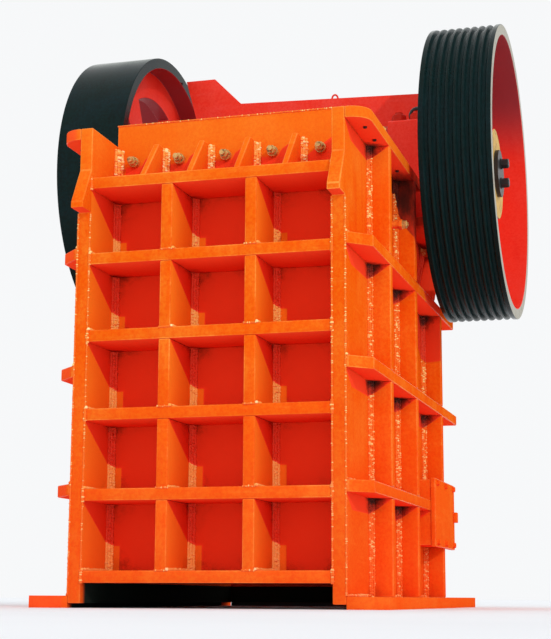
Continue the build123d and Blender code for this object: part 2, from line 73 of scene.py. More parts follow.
FRONT_RIBS = [f"front_rib_{row}" for row in range(1, 7)]
FRONT_POSTS = ["front_posts_1", "front_posts_2"]
ORANGE_NODES = [
    *pairs("side_plate", "foot"), "front_wall", *FRONT_RIBS, *FRONT_POSTS, "front_gussets",
    *pairs("side_ribs", "side_posts", "window_frame", "window_cover", "bearing_seat"),
    "rear_wall", "rear_ribs", "rear_posts", "rod_bracket",
]

# The sun's rays run left, to the rear and down: this far left and down for each metre to the rear.
SUN_LEAN = 0.93
SUN_DROP = 0.61
# Play at the limits of the painted shadows, and the softness of their edges.
HAIR = 0.0006
MARGIN = 0.003
SOFT = 0.004
# Places and sizes on the frame.
GUSSET_TIP = 0.078
BRACE_LENGTH = 0.2
BRACE_RUN = 0.271
BRACE_WIDTH = 0.064
NOSE_FOOT = 1.78
RIM_DEPTH = 0.058
GROOVE_DEPTH = 0.050
HUB_REACH = 0.26
JAW_BOLT_SPACING = 0.2315
JAW_BOLT_SHIFT = 0.016
JAW_BOLT_RISE = 0.150
FLANGE_BOLT_REACH = 0.688
FLANGE_BOLT_DEPTHS = (-1.080, -0.880, -0.594, -0.353, -0.114)
FLANGE_STUD_PLACE = (0.712, -0.815)
CHEEK_STUD_PLACE = (-0.307, 1.872)
COVER_BOLT_INSET = (0.055, 0.024)
CAP_BOLT_RING = 0.205
END_BOLT_OFFSET = 0.054
EYE_REACH = 0.690
EYE_RADIUS = 0.036
EYE_WIRE = 0.0125
LUG_SIZE = (0.022, 0.040, 0.055)
ARCH_PLACE = (0.131, 2.886)
ARCH_SIZE = (0.018, 0.028)
# Fasteners in metres, then in shares of the nut's corner radius.
Bolt = namedtuple("Bolt", "radius height washer washer_height stud stud_length")
FLANGE_BOLT = Bolt(0.009, 0.006, 0.010, 0.001, 0.004, 0.007)
FLANGE_STUD = Bolt(0.017, 0.016, 0.018, 0.002, 0.009, 0.024)
CHEEK_STUD = Bolt(0.027, 0.014, 0.019, 0.058, 0.012, 0.016)
CHEEK_NUT = Bolt(0.021, 0.018, 0.022, 0.003, 0.011, 0.026)
CAP_BOLT = Bolt(0.016, 0.009, 0.020, 0.002, 0.006, 0.010)
JAW_SHARES = Bolt(1, 1.1, 1.12, 1, 0.56, 2.2)
COVER_SHARES = Bolt(1, 0.75, 1.25, 0.2, 0.5, 0.9)
BEARING_SHARES = Bolt(1, 0.8, 1.15, 0.2, 0.55, 1.2)
# Camera: turn, tilt and roll in degrees, and its place.
CAMERA_TURN = (16.067, 10.592, 0.269)
CAMERA_PLACE = (2.0829, -7.3678, 0.0494)


def colour_property(label, words, value):
    return bpy.props.FloatVectorProperty(
        name=label, description=words, default=value, size=3, min=0, max=1, subtype="COLOR"
    )


def length_property(label, words, value):
    return bpy.props.FloatProperty(
        name=label, description=words, default=value, min=0, subtype="DISTANCE", unit="LENGTH"
    )


def number_property(label, words, value):
    return bpy.props.FloatProperty(name=label, description=words, default=value, min=0)


class CrusherColours(bpy.types.PropertyGroup):
    """Colours of the paints and bare metals."""

    frame_orange: colour_property("Frame orange", "Enamel on the welded frame", (0.89, 0.136, 0.005))
    # Painted shade: the deeper orange stands in for shade where plates keep off the sun.
    frame_deep: colour_property("Deep orange", "Enamel where plates keep off the sun", (0.99, 0.070, 0.022))
    edge_orange: colour_property("Edge orange", "Paint on rounded plate edges", (0.90, 0.165, 0.010))
    red: colour_property("Red", "Enamel on the guard and wheel webs", (0.86, 0.046, 0.024))
    wheel_black: colour_property("Wheel black", "Paint on the wheel rims", (0.004, 0.0150, 0.0140))
    rim_face: colour_property("Rim face", "Bare turned face of the pulley's rim", (0.44, 0.42, 0.34))
    black: colour_property("Black", "Black end plates and eyebolts", (0.010, 0.012, 0.014))
    bolt: colour_property("Bolts", "Yellow plating on nuts and bolts", (0.72, 0.46, 0.15))
    liner: colour_property("Liners", "Cast jaw and cheek plates", (0.15, 0.14, 0.13))
    steel: colour_property("Steel", "Machined shaft, rod and spring", (0.42, 0.41, 0.39))
    grease: colour_property("Hub face", "Yellow coating on the hub's end", (0.70, 0.42, 0.07))
    # This dark colour, laid in tight corners mostly where shade falls, is dirt and painted shade.
    grime: colour_property("Grime", "Dirt in corners", (0.06, 0.012, 0.006))


class CrusherSizes(bpy.types.PropertyGroup):
    """Sizes of the small details."""

    edge_round: length_property("Edge rounding", "Width of the rounded plate edges", 0.005)
    weld_pitch: length_property("Weld pitch", "Distance between ripples of a weld", 0.0082)
    weld_bead: length_property("Weld bead", "Half width of one weld run", 0.0105)
    front_nut: length_property("Jaw bolt nut", "Corner radius of the nuts on the front wall", 0.0225)
    cover_bolt: length_property("Cover bolt", "Corner radius of the window cover's bolts", 0.014)
    bearing_bolt: length_property("Bearing bolt", "Corner radius of the bearing block's nuts", 0.040)
    end_bolt: length_property("Shaft end bolt", "Corner radius of the shaft end plate's bolts", 0.027)
    spring_wire: length_property("Spring wire", "Diameter of the tension spring's wire", 0.026)


class CrusherStage(bpy.types.PropertyGroup):
    """Floor, lights and camera."""

    floor: colour_property("Floor", "Pale floor and backdrop", (0.86, 0.87, 0.88))
    key: number_property("Key", "Strength of the key light", 0.75)
    fill: number_property("Fill", "Strength of the light from all round", 1.02)
    lens: number_property("Lens", "Focal length in millimetres", 83.72)


# Node helpers


class Wire:
    """A node's output. Arithmetic adds maths nodes to its tree, and | takes the larger of two values."""

    def __init__(self, socket):
        self.socket, self.tree = socket, socket.id_data

    def __getitem__(self, name):
        return Wire(self.socket.node.outputs[name])

    def __add__(self, other):
        return maths("ADD", self, other)

    def __sub__(self, other):
        return maths("SUBTRACT", self, other)

    def __rsub__(self, other):
        return maths("SUBTRACT", other, self)

    def __mul__(self, other):
        return maths("MULTIPLY", self, other)

    def __truediv__(self, other):
        return maths("DIVIDE", self, other)

    def __mod__(self, other):
        return maths("FLOORED_MODULO", self, other)

    def __or__(self, other):
        return maths("MAXIMUM", self, other)

    def __gt__(self, other):
        return maths("GREATER_THAN", self, other)

    def __lt__(self, other):
        return maths("LESS_THAN", self, other)


def feed(value, socket):
    """Links a wire to an input, or sets the input to a value."""
    if isinstance(value, Wire):
        value.tree.links.new(value.socket, socket)
    else:
        socket.default_value = value


def put(node, **inputs):
    """Feeds a node's inputs by name."""
    for key, value in inputs.items():
        name = key.replace("_", " ")
        feed(value, next(s for s in node.inputs if s.name == name and s.enabled))


def add(tree, kind, settings=None, **inputs):
    """A new node's first output in use. The settings are the node's own properties."""
    node = tree.nodes.new(kind)
    for key, value in (settings or {}).items():
        setattr(node, key, value)
    put(node, **inputs)
    return Wire(next(s for s in node.outputs if s.enabled))


def new_group(name, kind, inputs, outputs):
    """The inputs and the end of a new node group. An input is given by its default value or its type."""
    tree = bpy.data.node_groups.new(name, kind)
    for label, value in inputs.items():
        typed = isinstance(value, str)
        socket = value if typed else "Color" if isinstance(value, tuple) else "Float"
        made = tree.interface.new_socket(label, in_out="INPUT", socket_type=f"NodeSocket{socket}")
        if not typed:
            made.default_value = value
    for label, socket in outputs.items():
        tree.interface.new_socket(label, in_out="OUTPUT", socket_type=f"NodeSocket{socket}")
    return Wire(tree.nodes.new("NodeGroupInput").outputs[0]), tree.nodes.new("NodeGroupOutput")


def mixed(factor, first, second, blend="MIX"):
    """A colour mix."""
    node = factor.tree.nodes.new("ShaderNodeMix")
    node.data_type, node.blend_type = "RGBA", blend
    for index, value in ((0, factor), (6, first), (7, second)):
        feed(value, node.inputs[index])
    return Wire(node.outputs[2])


def maths(operation, first, second=0.0, clamp=False):
    tree = (first if isinstance(first, Wire) else second).tree
    node = tree.nodes.new("ShaderNodeMath")
    node.operation, node.use_clamp = operation, clamp
    feed(first, node.inputs[0])
    feed(second, node.inputs[1])
    return Wire(node.outputs[0])


def span(value, low, high, to_low=0.0, to_high=1.0):
    """A smooth step from low to high."""
    settings = {"interpolation_type": "SMOOTHSTEP"}
    return add(
        value.tree, "ShaderNodeMapRange", settings, Value=value, From_Min=low, From_Max=high, To_Min=to_low,
        To_Max=to_high,
    )


def noise(vector, scale, detail=2.0, roughness=0.5):
    return add(
        vector.tree, "ShaderNodeTexNoise", Vector=vector, Scale=scale, Detail=detail, Roughness=roughness
    )


def stretched(vector, scale):
    return add(vector.tree, "ShaderNodeMapping", {"vector_type": "POINT"}, Vector=vector, Scale=scale)


def axes(vector):
    """The three coordinates of a vector."""
    parts = add(vector.tree, "ShaderNodeSeparateXYZ", Vector=vector)
    return [parts[name] for name in "XYZ"]


def facing_up(tree):
    return axes(add(tree, "ShaderNodeNewGeometry")["Normal"])[2]


def steps(value, first, rises):
    """A staircase: the first level, then a new level above each height in turn."""
    level, total = first, first
    for height, new in rises:
        total = (value > height) * (new - level) + total
        level = new
    return total


def between(value, low, high):
    """1 between two limits, 0 outside them."""
    return (value > low) * (value < high)


# Shared surface effects


def paint_film_group():
    """Brushed and sprayed enamel: patches, runs, flecks and the fine ripple of thick paint."""
    colours = {"Colour": (0.8, 0.2, 0.02, 1), "Faded": (0.9, 0.3, 0.05, 1)}
    start, end = new_group(
        "paint_film", "ShaderNodeTree", {"Vector": "Vector", **colours, "Patchiness": 0.5, "Gloss": 0.3},
        {"Colour": "Color", "Roughness": "Float", "Height": "Float"},
    )
    vector, faded, patchiness = start["Vector"], start["Faded"], start["Patchiness"]
    patches = noise(vector, 3.2, 5.0, 0.6)
    streaks = noise(stretched(vector, (3, 3, 34)), 1.0, 4.0, 0.6)
    runs = noise(stretched(vector, (16, 16, 1.4)), 1.0, 3.0)
    mottle = noise(vector, 70.0, 3.0, 0.7)
    flecks = noise(vector, 150.0, 2.0, 0.7)
    ripple = noise(vector, 62.0, 3.0)
    colour = mixed(span(patches, 0.42, 0.68) * patchiness, start["Colour"], faded)
    colour = mixed(span(streaks, 0.56, 0.74, 0.0, 0.75) * patchiness, colour, faded)
    colour = mixed(span(runs, 0.50, 0.8, 0.0, 0.45), colour, (0.94, 0.42, 0.40, 1), "MULTIPLY")
    colour = mixed(span(mottle, 0.40, 0.62, 0.0, 0.65), colour, (0.97, 0.58, 0.50, 1), "MULTIPLY")
    colour = mixed(span(flecks, 0.54, 0.70, 0.0, 0.40), colour, (0.90, 0.55, 0.5, 1), "MULTIPLY")
    rough = start["Gloss"] + span(patches, 0.3, 0.7, -0.05, 0.12)
    put(end, Colour=colour, Roughness=rough, Height=ripple * 0.7 + flecks * 0.3)


def corner_shade_and_dirt_group():
    """Painted shade: a deeper colour in hollows and where the sun doesn't reach. A dark dirt colour in tight
    corners, laid mostly where shade falls, is dirt and painted shade.
    """
    colours = {"Colour": (0.8, 0.2, 0.02, 1), "Deep": (0.6, 0.03, 0.01, 1), "Grime": (0.05, 0.01, 0.01, 1)}
    masks = {"Openness": 1.0, "Tightness": 1.0, "Sheltered": 0.0, "Dirt": 0.5}
    start, end = new_group(
        "corner_dirt", "ShaderNodeTree", {"Vector": "Vector", **colours, **masks},
        {"Colour": "Color", "Dirtiness": "Float"},
    )
    sheltered = start["Sheltered"]
    # Painted shade in hollows and wherever the sun doesn't reach.
    deep = span(start["Openness"], 0.05, 0.35, 0.75, 0.0) | sheltered
    deeper = mixed(deep, start["Colour"], start["Deep"])
    cloud = noise(start["Vector"], 13.0, 6.0, 0.7)
    # Dark in tight corners, mostly in shade: dirt and painted shade.
    corner = span(start["Tightness"] + cloud * 0.6, 0.48, 0.72, 1.0, 0.0)
    shade_weight = sheltered * 0.95 + 0.10
    dirt_and_shade = maths("MULTIPLY", corner * shade_weight, start["Dirt"], clamp=True)
    put(end, Colour=mixed(dirt_and_shade, deeper, start["Grime"]), Dirtiness=dirt_and_shade)


def darkened_group():
    """Near-black over the paint: painted shade on the inside under the front wall, and soot that lies only where
    shade falls, as soot and painted shade.
    """
    start, end = new_group(
        "darkened", "ShaderNodeTree", {"Colour": (0.8, 0.2, 0.02, 1), "Dirtiness": 0.0, "Dark": 0.0},
        {"Colour": "Color", "Dirtiness": "Float"},
    )
    near_black = mixed(start["Dark"], start["Colour"], (0.016, 0.022, 0.018, 1))
    put(end, Colour=near_black, Dirtiness=start["Dirtiness"] | start["Dark"])


def bare_metal_group():
    """Cast or turned metal: mottling, rust bloom and a fine grain."""
    colours = {"Colour": (0.3, 0.3, 0.3, 1), "Rust": (0.2, 0.07, 0.02, 1)}
    values = {"Rustiness": 0.3, "Bloom Scale": 11.0, "Grain Scale": 180.0, "Gloss": 0.4}
    start, end = new_group(
        "bare_metal", "ShaderNodeTree", {"Vector": "Vector", **colours, **values},
        {"Colour": "Color", "Roughness": "Float", "Height": "Float"},
    )
    bloom = noise(start["Vector"], start["Bloom Scale"], 6.0, 0.65)
    grain = noise(start["Vector"], start["Grain Scale"], 2.0, 0.6)
    colour = mixed(span(bloom, 0.48, 0.72) * start["Rustiness"], start["Colour"], start["Rust"])
    speckled = mixed(span(grain, 0.4, 0.7, 0.0, 0.35), colour, (0.45, 0.45, 0.45, 1), "MULTIPLY")
    put(end, Colour=speckled, Roughness=start["Gloss"] + bloom * 0.25, Height=grain)


# Painted shadows and painted light


def wheel_shade(x, y, z, last_post):
    """Where the belt pulley keeps the sun off the right side, as far back as the front of the last post."""
    low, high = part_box("belt_pulley")
    radius = (high.z - low.z) / 2
    covered = 0.0
    for face in (low.x, (low.x + high.x) / 2, high.x):
        away = (face - x) / SUN_LEAN
        along = y - away - SHAFT.y
        up = z + away * SUN_DROP - SHAFT.z
        distance = maths("SQRT", along * along + up * up)
        covered = span(distance, radius - 0.006, radius, 1.0, 0.0) | covered
    return covered * between(x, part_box("side_plate_right")[0].x, low.x) * (y < last_post)


def gusset_shade(x, y, z):
    """Painted shadow where the gussets keep the sun off the front wall above its top rib, and the painted shadow
    of the jaw bolts' nuts in a band low between the gussets.
    """
    gussets = sorted(solids_of("front_gussets"), key=lambda box: box[0].x)
    wall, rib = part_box("front_wall")[0].y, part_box("front_rib_1")[1]
    low, high = gussets[0]
    depth, spacing = high.y - low.y, gussets[1][0].x - low.x
    last = x > gussets[-1][0].x
    ahead = (low.x - x) % spacing * (1.0 - last) + (rib.x - x) * last
    outward = ahead / SUN_LEAN
    up = z + outward * SUN_DROP
    slope = (depth - GUSSET_TIP) / (high.z - low.z)
    reach = depth - (up - low.z) * slope + last * 0.3
    covered = span(reach - outward, -0.002, 0.003) * (up - last * 0.04 < high.z)
    # Painted shadow of the nuts: a band low on the wall between the gussets.
    low_band = span(z, rib.z + 0.122, rib.z + 0.142, 1.0, 0.0) * (ahead < spacing - 0.055)
    on_wall = between(y, wall - SOFT, wall + SOFT)
    return (covered | low_band) * on_wall * between(z, rib.z, high.z) * between(x, -rib.x, rib.x)


def pocket_light(x, y, z):
    """The shaded and the lit paint in the front wall's pockets."""
    ribs = [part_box(node) for node in FRONT_RIBS]
    post_left, post_right = (corner.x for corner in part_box(FRONT_POSTS[0]))
    left, front, floor = ribs[0][0].x, ribs[0][0].y, ribs[-1][1].z
    row, column = ribs[-2][1].z - floor, post_right - left
    high, wide = ribs[-2][0].z - floor, post_left - left
    inward = y - front
    across = (x - (left - HAIR)) % column + inward * SUN_LEAN
    upward = (z - (floor - HAIR)) % row + inward * SUN_DROP
    blocked = span(across, wide - SOFT, wide + HAIR) | span(upward, high - SOFT, high + HAIR)
    pockets = between(inward, SOFT, ribs[0][1].y - front + MARGIN)
    pockets = pockets * between(x, left - MARGIN, MARGIN - left)
    pockets = pockets * between(z, floor - MARGIN, ribs[0][0].z + 0.001)
    shaded = pockets * blocked
    return shaded, pockets - shaded


def bay_shade(vector, x, y, z):
    """Painted shade in the bays of the right side; soot near the bearing and in the far corners of the bays, which
    is laid only where shade falls, so soot and painted shade; and where the last bay ends.
    """
    plate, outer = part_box("side_plate_right")[1].x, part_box("side_ribs_right")[1].x
    boxes = solids_of("side_ribs_right")
    ribs = sorted((low.z, top.z) for low, top in boxes)
    rib_front = min(low.y for low, _ in boxes)
    posts = [box for box in solids_of("side_posts_right") if box[1].y - box[0].y < BRACE_LENGTH]
    uprights = sorted({(round(low.y, 3), round(top.y, 3)) for low, top in posts})
    inset = outer - x
    roof = steps(z, ribs[0][0], [(lower[1] - 0.001, upper[0]) for lower, upper in zip(ribs, ribs[1:])])
    below = roof - z
    met = y - rib_front - below / SUN_DROP
    up = z + inset * (SUN_DROP / SUN_LEAN)
    under_rib = span(up - roof, -SOFT, 0.001) * span(met, -SOFT, 0.001)
    ahead = steps(y, -9.0, [(rear - 0.001, rear) for _, rear in uprights])
    forward = y - inset / SUN_LEAN
    hidden = under_rib | span(ahead - forward, -SOFT, 0.001)
    last_post = uprights[-1][0] + SOFT
    in_bays = between(inset, MARGIN, outer - plate + MARGIN)
    shaded = hidden * in_bays * (z - roof < 0.001) * (y < last_post)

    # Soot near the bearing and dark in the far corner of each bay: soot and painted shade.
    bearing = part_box("bearing_right")[0]
    away = add(vector.tree, "ShaderNodeVectorMath", {"operation": "DISTANCE"}, Vector=vector)
    feed((plate + 0.03, bearing.y - 0.22, bearing.z + 0.03), away.socket.node.inputs[1])
    wisps = noise(stretched(vector, (30, 9, 9)), 1.0, 5.0, 0.7)
    near = span(away["Value"] + wisps * 0.34, 0.20, 0.52, 1.0, 0.0)
    rises = [(rear - 0.001, front) for (_, rear), (front, _) in zip(uprights, uprights[1:])]
    behind = steps(y, uprights[0][0], rises) - y
    deep_in = (outer - plate) - inset
    corner = maths("SQRT", below * below + behind * behind + deep_in * deep_in)
    speckle = noise(vector, 28.0, 4.0, 0.7)
    corner = span(corner + speckle * 0.12, 0.075, 0.150, 1.0, 0.0)
    corner = corner * (inset > -0.002) * (below > -SOFT)
    return shaded, near | corner, last_post


def under_wall(x, y, z):
    """Painted shade: near-black on the inside that shows under the front wall."""
    left, front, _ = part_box("front_rib_1")[0]
    rear = min(solids_of("rear_wall"), key=lambda box: box[0].z)[0].y
    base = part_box("side_plate_left")[0].z
    half = steps(z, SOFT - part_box("foot_left")[1].x, [(base + 0.0005, SOFT - left)])
    low = (maths("ABSOLUTE", x) < half) * (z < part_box("front_wall")[0].z + MARGIN)
    return low * span(y, front + 0.02, front + 0.06) * (y < rear + SOFT)


def sun_reach_group():
    """Painted shade where the low sun never reaches, painted light where it reaches into the pockets, soot on the
    right side, and near-black painted shade on the inside under the front wall.
    """
    outputs = dict.fromkeys(("Shade", "Inside", "Soot", "Lit"), "Float")
    start, end = new_group("sun_reach", "ShaderNodeTree", {"Vector": "Vector"}, outputs)
    vector = start["Vector"]
    x, y, z = axes(vector)
    in_pockets, lit = pocket_light(x, y, z)
    in_bays, soot, last_post = bay_shade(vector, x, y, z)
    plate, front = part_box("side_plate_right")[1].x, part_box("front_rib_1")[0].y
    # Painted shade: deeper towards the bottom.
    low_down = span(z, 0.0, 1.5, 0.32, 0.0)
    # Painted shade on the front ends of the left side's ribs, which face away from the sun.
    left_ends = span(x * -1.0, plate + 0.006, plate + 0.04, 0.0, 0.7) * (y < front + 0.25)
    shade = in_pockets | in_bays | gusset_shade(x, y, z) | wheel_shade(x, y, z, last_post)
    put(end, Shade=shade | low_down | left_ends, Inside=under_wall(x, y, z), Soot=soot, Lit=lit)


# Materials


def new_material(name):
    """The shader and the object coordinates of a new material."""
    material = bpy.data.materials.new(name)
    material.use_nodes = True
    tree = material.node_tree
    return tree.nodes["Principled BSDF"], add(tree, "ShaderNodeTexCoord")["Object"]


def use_group(tree, name, **inputs):
    return add(tree, "ShaderNodeGroup", {"node_tree": bpy.data.node_groups[name]}, **inputs)


def bump(shader, height, strength, distance):
    normal = add(height.tree, "ShaderNodeBump", Strength=strength, Distance=distance, Height=height)
    put(shader, Normal=normal)


def solid(colour):
    return (*colour, 1.0)


def lighter(colour, share):
    return tuple(c + (1 - c) * share for c in colour)


def sheltered_paint(vector, colour, deep, grime, dirt, painted_sun, lit=(1.0, 0.235, 0.017)):
    """The paint with painted shade in hollows and on undersides, and a dark dirt colour in tight corners that is
    dirt and painted shade. Paint for the low sun also takes its painted shadows and painted light, near-black
    painted shade inside and soot.
    """
    tree = vector.tree
    openness, tightness = (
        add(tree, "ShaderNodeAmbientOcclusion", {"samples": 8}, Distance=far)["AO"] for far in (0.32, 0.16)
    )
    # Painted shade on undersides.
    shade = span(facing_up(tree), -0.8, -0.3, 0.95, 0.0)
    if painted_sun:
        sun = use_group(tree, "sun_reach", Vector=vector)
        shade = shade | sun["Shade"]
        # Near-black: painted shade on the inside under the front wall, and soot only where shade falls.
        dark = sun["Inside"] | sun["Soot"] * (shade * 0.92)
        openness = openness | sun["Lit"]
        # Painted light: the lit colour where the sun reaches into the pockets.
        colour = mixed(sun["Lit"] * 0.8, colour, solid(lit))
    made = use_group(
        tree, "corner_dirt", Vector=vector, Colour=colour, Deep=solid(deep), Grime=solid(grime),
        Openness=openness, Tightness=tightness, Sheltered=shade, Dirt=dirt,
    )
    if painted_sun:
        made = use_group(tree, "darkened", Colour=made["Colour"], Dirtiness=made["Dirtiness"], Dark=dark)
    return made


def enamel(
    name, colour, faded, deep, grime, gloss, patchiness=0.5, dirt=0.8, specular=0.03, painted_sun=False,
    painted_sky_sheen=None,
):
    """Enamel with painted shade in corners and on undersides, dark dirt in tight corners, and a painted sheen of
    the sky on top where it has one.
    """
    shader, vector = new_material(name)
    film = use_group(
        vector.tree, "paint_film", Vector=vector, Colour=solid(colour), Faded=solid(faded),
        Patchiness=patchiness, Gloss=gloss,
    )
    tint = film["Colour"]
    # Painted light: the sunlit paint turns lighter towards the top.
    if painted_sun:
        tint = mixed(span(axes(vector)[2], 1.7, 2.25, 0.0, 0.4), tint, solid(faded))
    # Painted reflection: a pale sheen of the sky on faces that look up.
    if painted_sky_sheen:
        tint = mixed(span(facing_up(vector.tree), 0.78, 1.0, 0.0, 0.5), tint, solid(painted_sky_sheen))
    made = sheltered_paint(vector, tint, deep, grime, dirt, painted_sun)
    rough = film["Roughness"] + made["Dirtiness"] * 0.3
    put(shader, Base_Color=made["Colour"], Roughness=rough, Specular_IOR_Level=specular)
    bump(shader, film["Height"], 0.35, 0.0012)


def weld_enamel(name, colour, glint_colour, deep, grime):
    """Thick glossy paint over weld ripples. The tone attribute picks some ripples for a painted glint, a paler
    colour that stands in for the sun's highlights.
    """
    shader, vector = new_material(name)
    tone = add(vector.tree, "ShaderNodeAttribute", {"attribute_name": "tone"})["Fac"]
    cluster = noise(vector, 16.0, 3.0, 0.6)
    # Painted highlights: the ripples that the tone picks take the paler glint colour.
    glinting = span(tone * (cluster + 0.45), 0.42, 0.70)
    speckled = mixed(glinting, solid(colour), solid(glint_colour))
    # Painted light: a pale yellow where the sun reaches into the pockets, and painted shade where it doesn't.
    made = sheltered_paint(vector, speckled, deep, grime, 0.12, True, (1.0, 0.55, 0.13))
    grain = noise(vector, 190.0, 2.0)
    rough = span(grain, 0.3, 0.7, 0.2, 0.4)
    put(shader, Base_Color=made["Colour"], Roughness=rough, Specular_IOR_Level=0.12)
    bump(shader, grain, 0.5, 0.003)


def metal(name, colour, rust, rustiness, grain, gloss, metallic, depth=0.0008, bloom=11.0):
    """Bare or thinly coated metal."""
    shader, vector = new_material(name)
    made = use_group(
        vector.tree, "bare_metal", Vector=vector, Colour=solid(colour), Rust=solid(rust), Rustiness=rustiness,
        Bloom_Scale=bloom, Grain_Scale=grain, Gloss=gloss,
    )
    put(shader, Base_Color=made["Colour"], Roughness=made["Roughness"], Metallic=metallic)
    bump(shader, made["Height"], 0.3, depth)


class CRUSHER_OT_finishes(bpy.types.Operator):
    """Makes the paints and metals"""

    bl_idname = "crusher.finishes"
    bl_label = "Finishes"

    def execute(self, context):
        hues = context.scene.crusher_colours
        paint_film_group()
        corner_shade_and_dirt_group()
        sun_reach_group()
        darkened_group()
        bare_metal_group()
        self.frame_paints(hues)
        self.red_paints(hues)
        self.wheel_paints(hues)
        metal("rim_metal", hues.rim_face, (0.25, 0.13, 0.06), 0.4, 160.0, 0.38, 0.35)
        metal("black_steel", hues.black, (0.03, 0.02, 0.015), 0.4, 220.0, 0.35, 0.3)
        metal("bolt_plating", hues.bolt, (0.035, 0.014, 0.006), 0.95, 150.0, 0.16, 0.35, bloom=42.0)
        metal("liner_steel", hues.liner, (0.17, 0.075, 0.03), 0.55, 90.0, 0.48, 0.6, depth=0.002)
        metal("machined_steel", hues.steel, (0.22, 0.11, 0.05), 0.3, 260.0, 0.26, 0.9)
        metal("hub_coating", hues.grease, (0.16, 0.055, 0.015), 0.85, 120.0, 0.45, 0.1, bloom=17.0)
        return {"FINISHED"}

    def frame_paints(self, hues):
        # The deep colour is painted shade, and the dark corner colour is dirt and painted shade.
        deep, grime = hues.frame_deep, hues.grime
        faded, pale = (0.91, 0.215, 0.018), (0.98, 0.32, 0.05)
        enamel(
            "frame_enamel", hues.frame_orange, faded, deep, grime, 0.40, 0.7, specular=0.0, painted_sun=True
        )
        enamel(
            "edge_enamel", hues.edge_orange, pale, deep, grime, 0.26, 1.0, 0.3, specular=0.02, painted_sun=True
        )
        weld_enamel("weld_enamel", (0.92, 0.185, 0.015), (1.0, 0.72, 0.25), (0.97, 0.085, 0.033), grime)
        weld_enamel("front_weld_enamel", (1.0, 0.42, 0.08), (1.0, 0.82, 0.38), (0.98, 0.088, 0.036), grime)

    def red_paints(self, hues):
        red, grime, shaded = hues.red, hues.grime, (0.72, 0.030, 0.020)
        # Painted light: the bearings take a lighter red than the guard, to make up for the pulley's shadow on
        # them. The deep colours here are painted shade.
        bearing, bearing_pale, bearing_deep = (1.0, 0.060, 0.034), (1.0, 0.075, 0.05), (0.85, 0.040, 0.025)
        web_deep, web_grime = (0.26, 0.040, 0.048), (0.02, 0.008, 0.010)
        enamel("red_enamel", red, lighter(red, 0.04), shaded, grime, 0.34, dirt=0.6, specular=0.06)
        enamel(
            "bearing_enamel", bearing, bearing_pale, bearing_deep, grime, 0.34, dirt=0.6, specular=0.05
        )
        enamel("web_enamel", red, lighter(red, 0.03), web_deep, web_grime, 0.36, specular=0.06)
        enamel("casting_enamel", (0.55, 0.035, 0.02), red, (0.3, 0.012, 0.01), grime, 0.42)

    def wheel_paints(self, hues):
        # Painted reflection: a pale sheen of the sky on top of the rims. The deep colours are painted shade.
        painted_sky_sheen = (0.34, 0.40, 0.32)
        enamel(
            "wheel_enamel", hues.wheel_black, (0.005, 0.018, 0.022), (0.003, 0.010, 0.009),
            (0.002, 0.004, 0.004), 0.16, 0.8, 0.4, specular=0.07, painted_sky_sheen=painted_sky_sheen,
        )
        enamel(
            "groove_enamel", (0.009, 0.030, 0.031), (0.012, 0.036, 0.040), (0.009, 0.028, 0.029),
            (0.006, 0.016, 0.016), 0.3, 0.8, 0.2, specular=0.05, painted_sky_sheen=painted_sky_sheen,
        )


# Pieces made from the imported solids


def merged_copy(node):
    """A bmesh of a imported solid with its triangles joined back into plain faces."""
    shape = bmesh.new()
    shape.from_mesh(frame["nodes"][node].data)
    bmesh.ops.remove_doubles(shape, verts=shape.verts, dist=1e-5)
    bmesh.ops.dissolve_limit(shape, angle_limit=math.radians(0.5), verts=shape.verts, edges=shape.edges)
    return shape


def solids_of(node):
    """The boxes of a node's separate solids, in order."""
    shape = merged_copy(node)
    left = set(shape.verts)
    boxes = []
    while left:
        queue = [left.pop()]
        found = []
        while queue:
            vert = queue.pop()
            found.append(vert.co.copy())
            near = {edge.other_vert(vert) for edge in vert.link_edges} & left
            left -= near
            queue += near
        boxes.append(tuple(Vector([pick(p[i] for p in found) for i in range(3)]) for pick in (min, max)))
    shape.free()
    return sorted(boxes, key=lambda box: (*box[0], *box[1]))


def is_sharp(edge, angle):
    return len(edge.link_faces) == 2 and edge.calc_face_angle(0) > math.radians(angle)


def round_edges(shape, width, segments=2, material_index=None):
    """Rounds the sharp edges. The rounded strips may take a material of their own."""
    made = bmesh.ops.bevel(
        shape, geom=[edge for edge in shape.edges if is_sharp(edge, 28)], offset=width, offset_type="OFFSET",
        segments=segments, profile=0.5, affect="EDGES", clamp_overlap=True,
    )
    if material_index is not None:
        for face in made["faces"]:
            face.material_index = material_index


def smooth_faces(shape, angle=32):
    """Smooth shading that keeps sharp corners."""
    for face in shape.faces:
        face.smooth = True
    for edge in shape.edges:
        edge.smooth = not is_sharp(edge, angle)


def place(piece, body, replaced=()):
    """Lets a piece ride on a body."""
    if piece.name not in bpy.context.scene.collection.objects:
        bpy.context.scene.collection.objects.link(piece)
    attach(piece, body)
    if replaced:
        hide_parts(*replaced)


def finished(shape, name, body, materials, replaced=(), slot=None):
    """Turns a bmesh into a piece that rides on a body."""
    mesh = bpy.data.meshes.new(name)
    shape.to_mesh(mesh)
    shape.free()
    for material in materials:
        mesh.materials.append(bpy.data.materials[material])
    place(bpy.data.objects.new(name, mesh), body, replaced)


def stand_in(shape, node, ending, materials):
    """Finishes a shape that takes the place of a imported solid."""
    finished(shape, f"{node}_{ending}", BODIES[node], materials, (node,), SLOTS[node])


def rounded(node, width, materials, ending="painted"):
    """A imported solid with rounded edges. The last material is for the rounded strips."""
    shape = merged_copy(node)
    round_edges(shape, width, material_index=len(materials) - 1)
    smooth_faces(shape)
    stand_in(shape, node, ending, materials)


def coat(node, material):
    """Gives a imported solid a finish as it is."""
    mesh = frame["nodes"][node].data
    mesh.materials.clear()
    mesh.materials.append(bpy.data.materials[material])


def block(middle, extent):
    shape = bmesh.new()
    bmesh.ops.create_cube(shape, matrix=Matrix.LocRotScale(Vector(middle), None, Vector(extent)))
    return shape


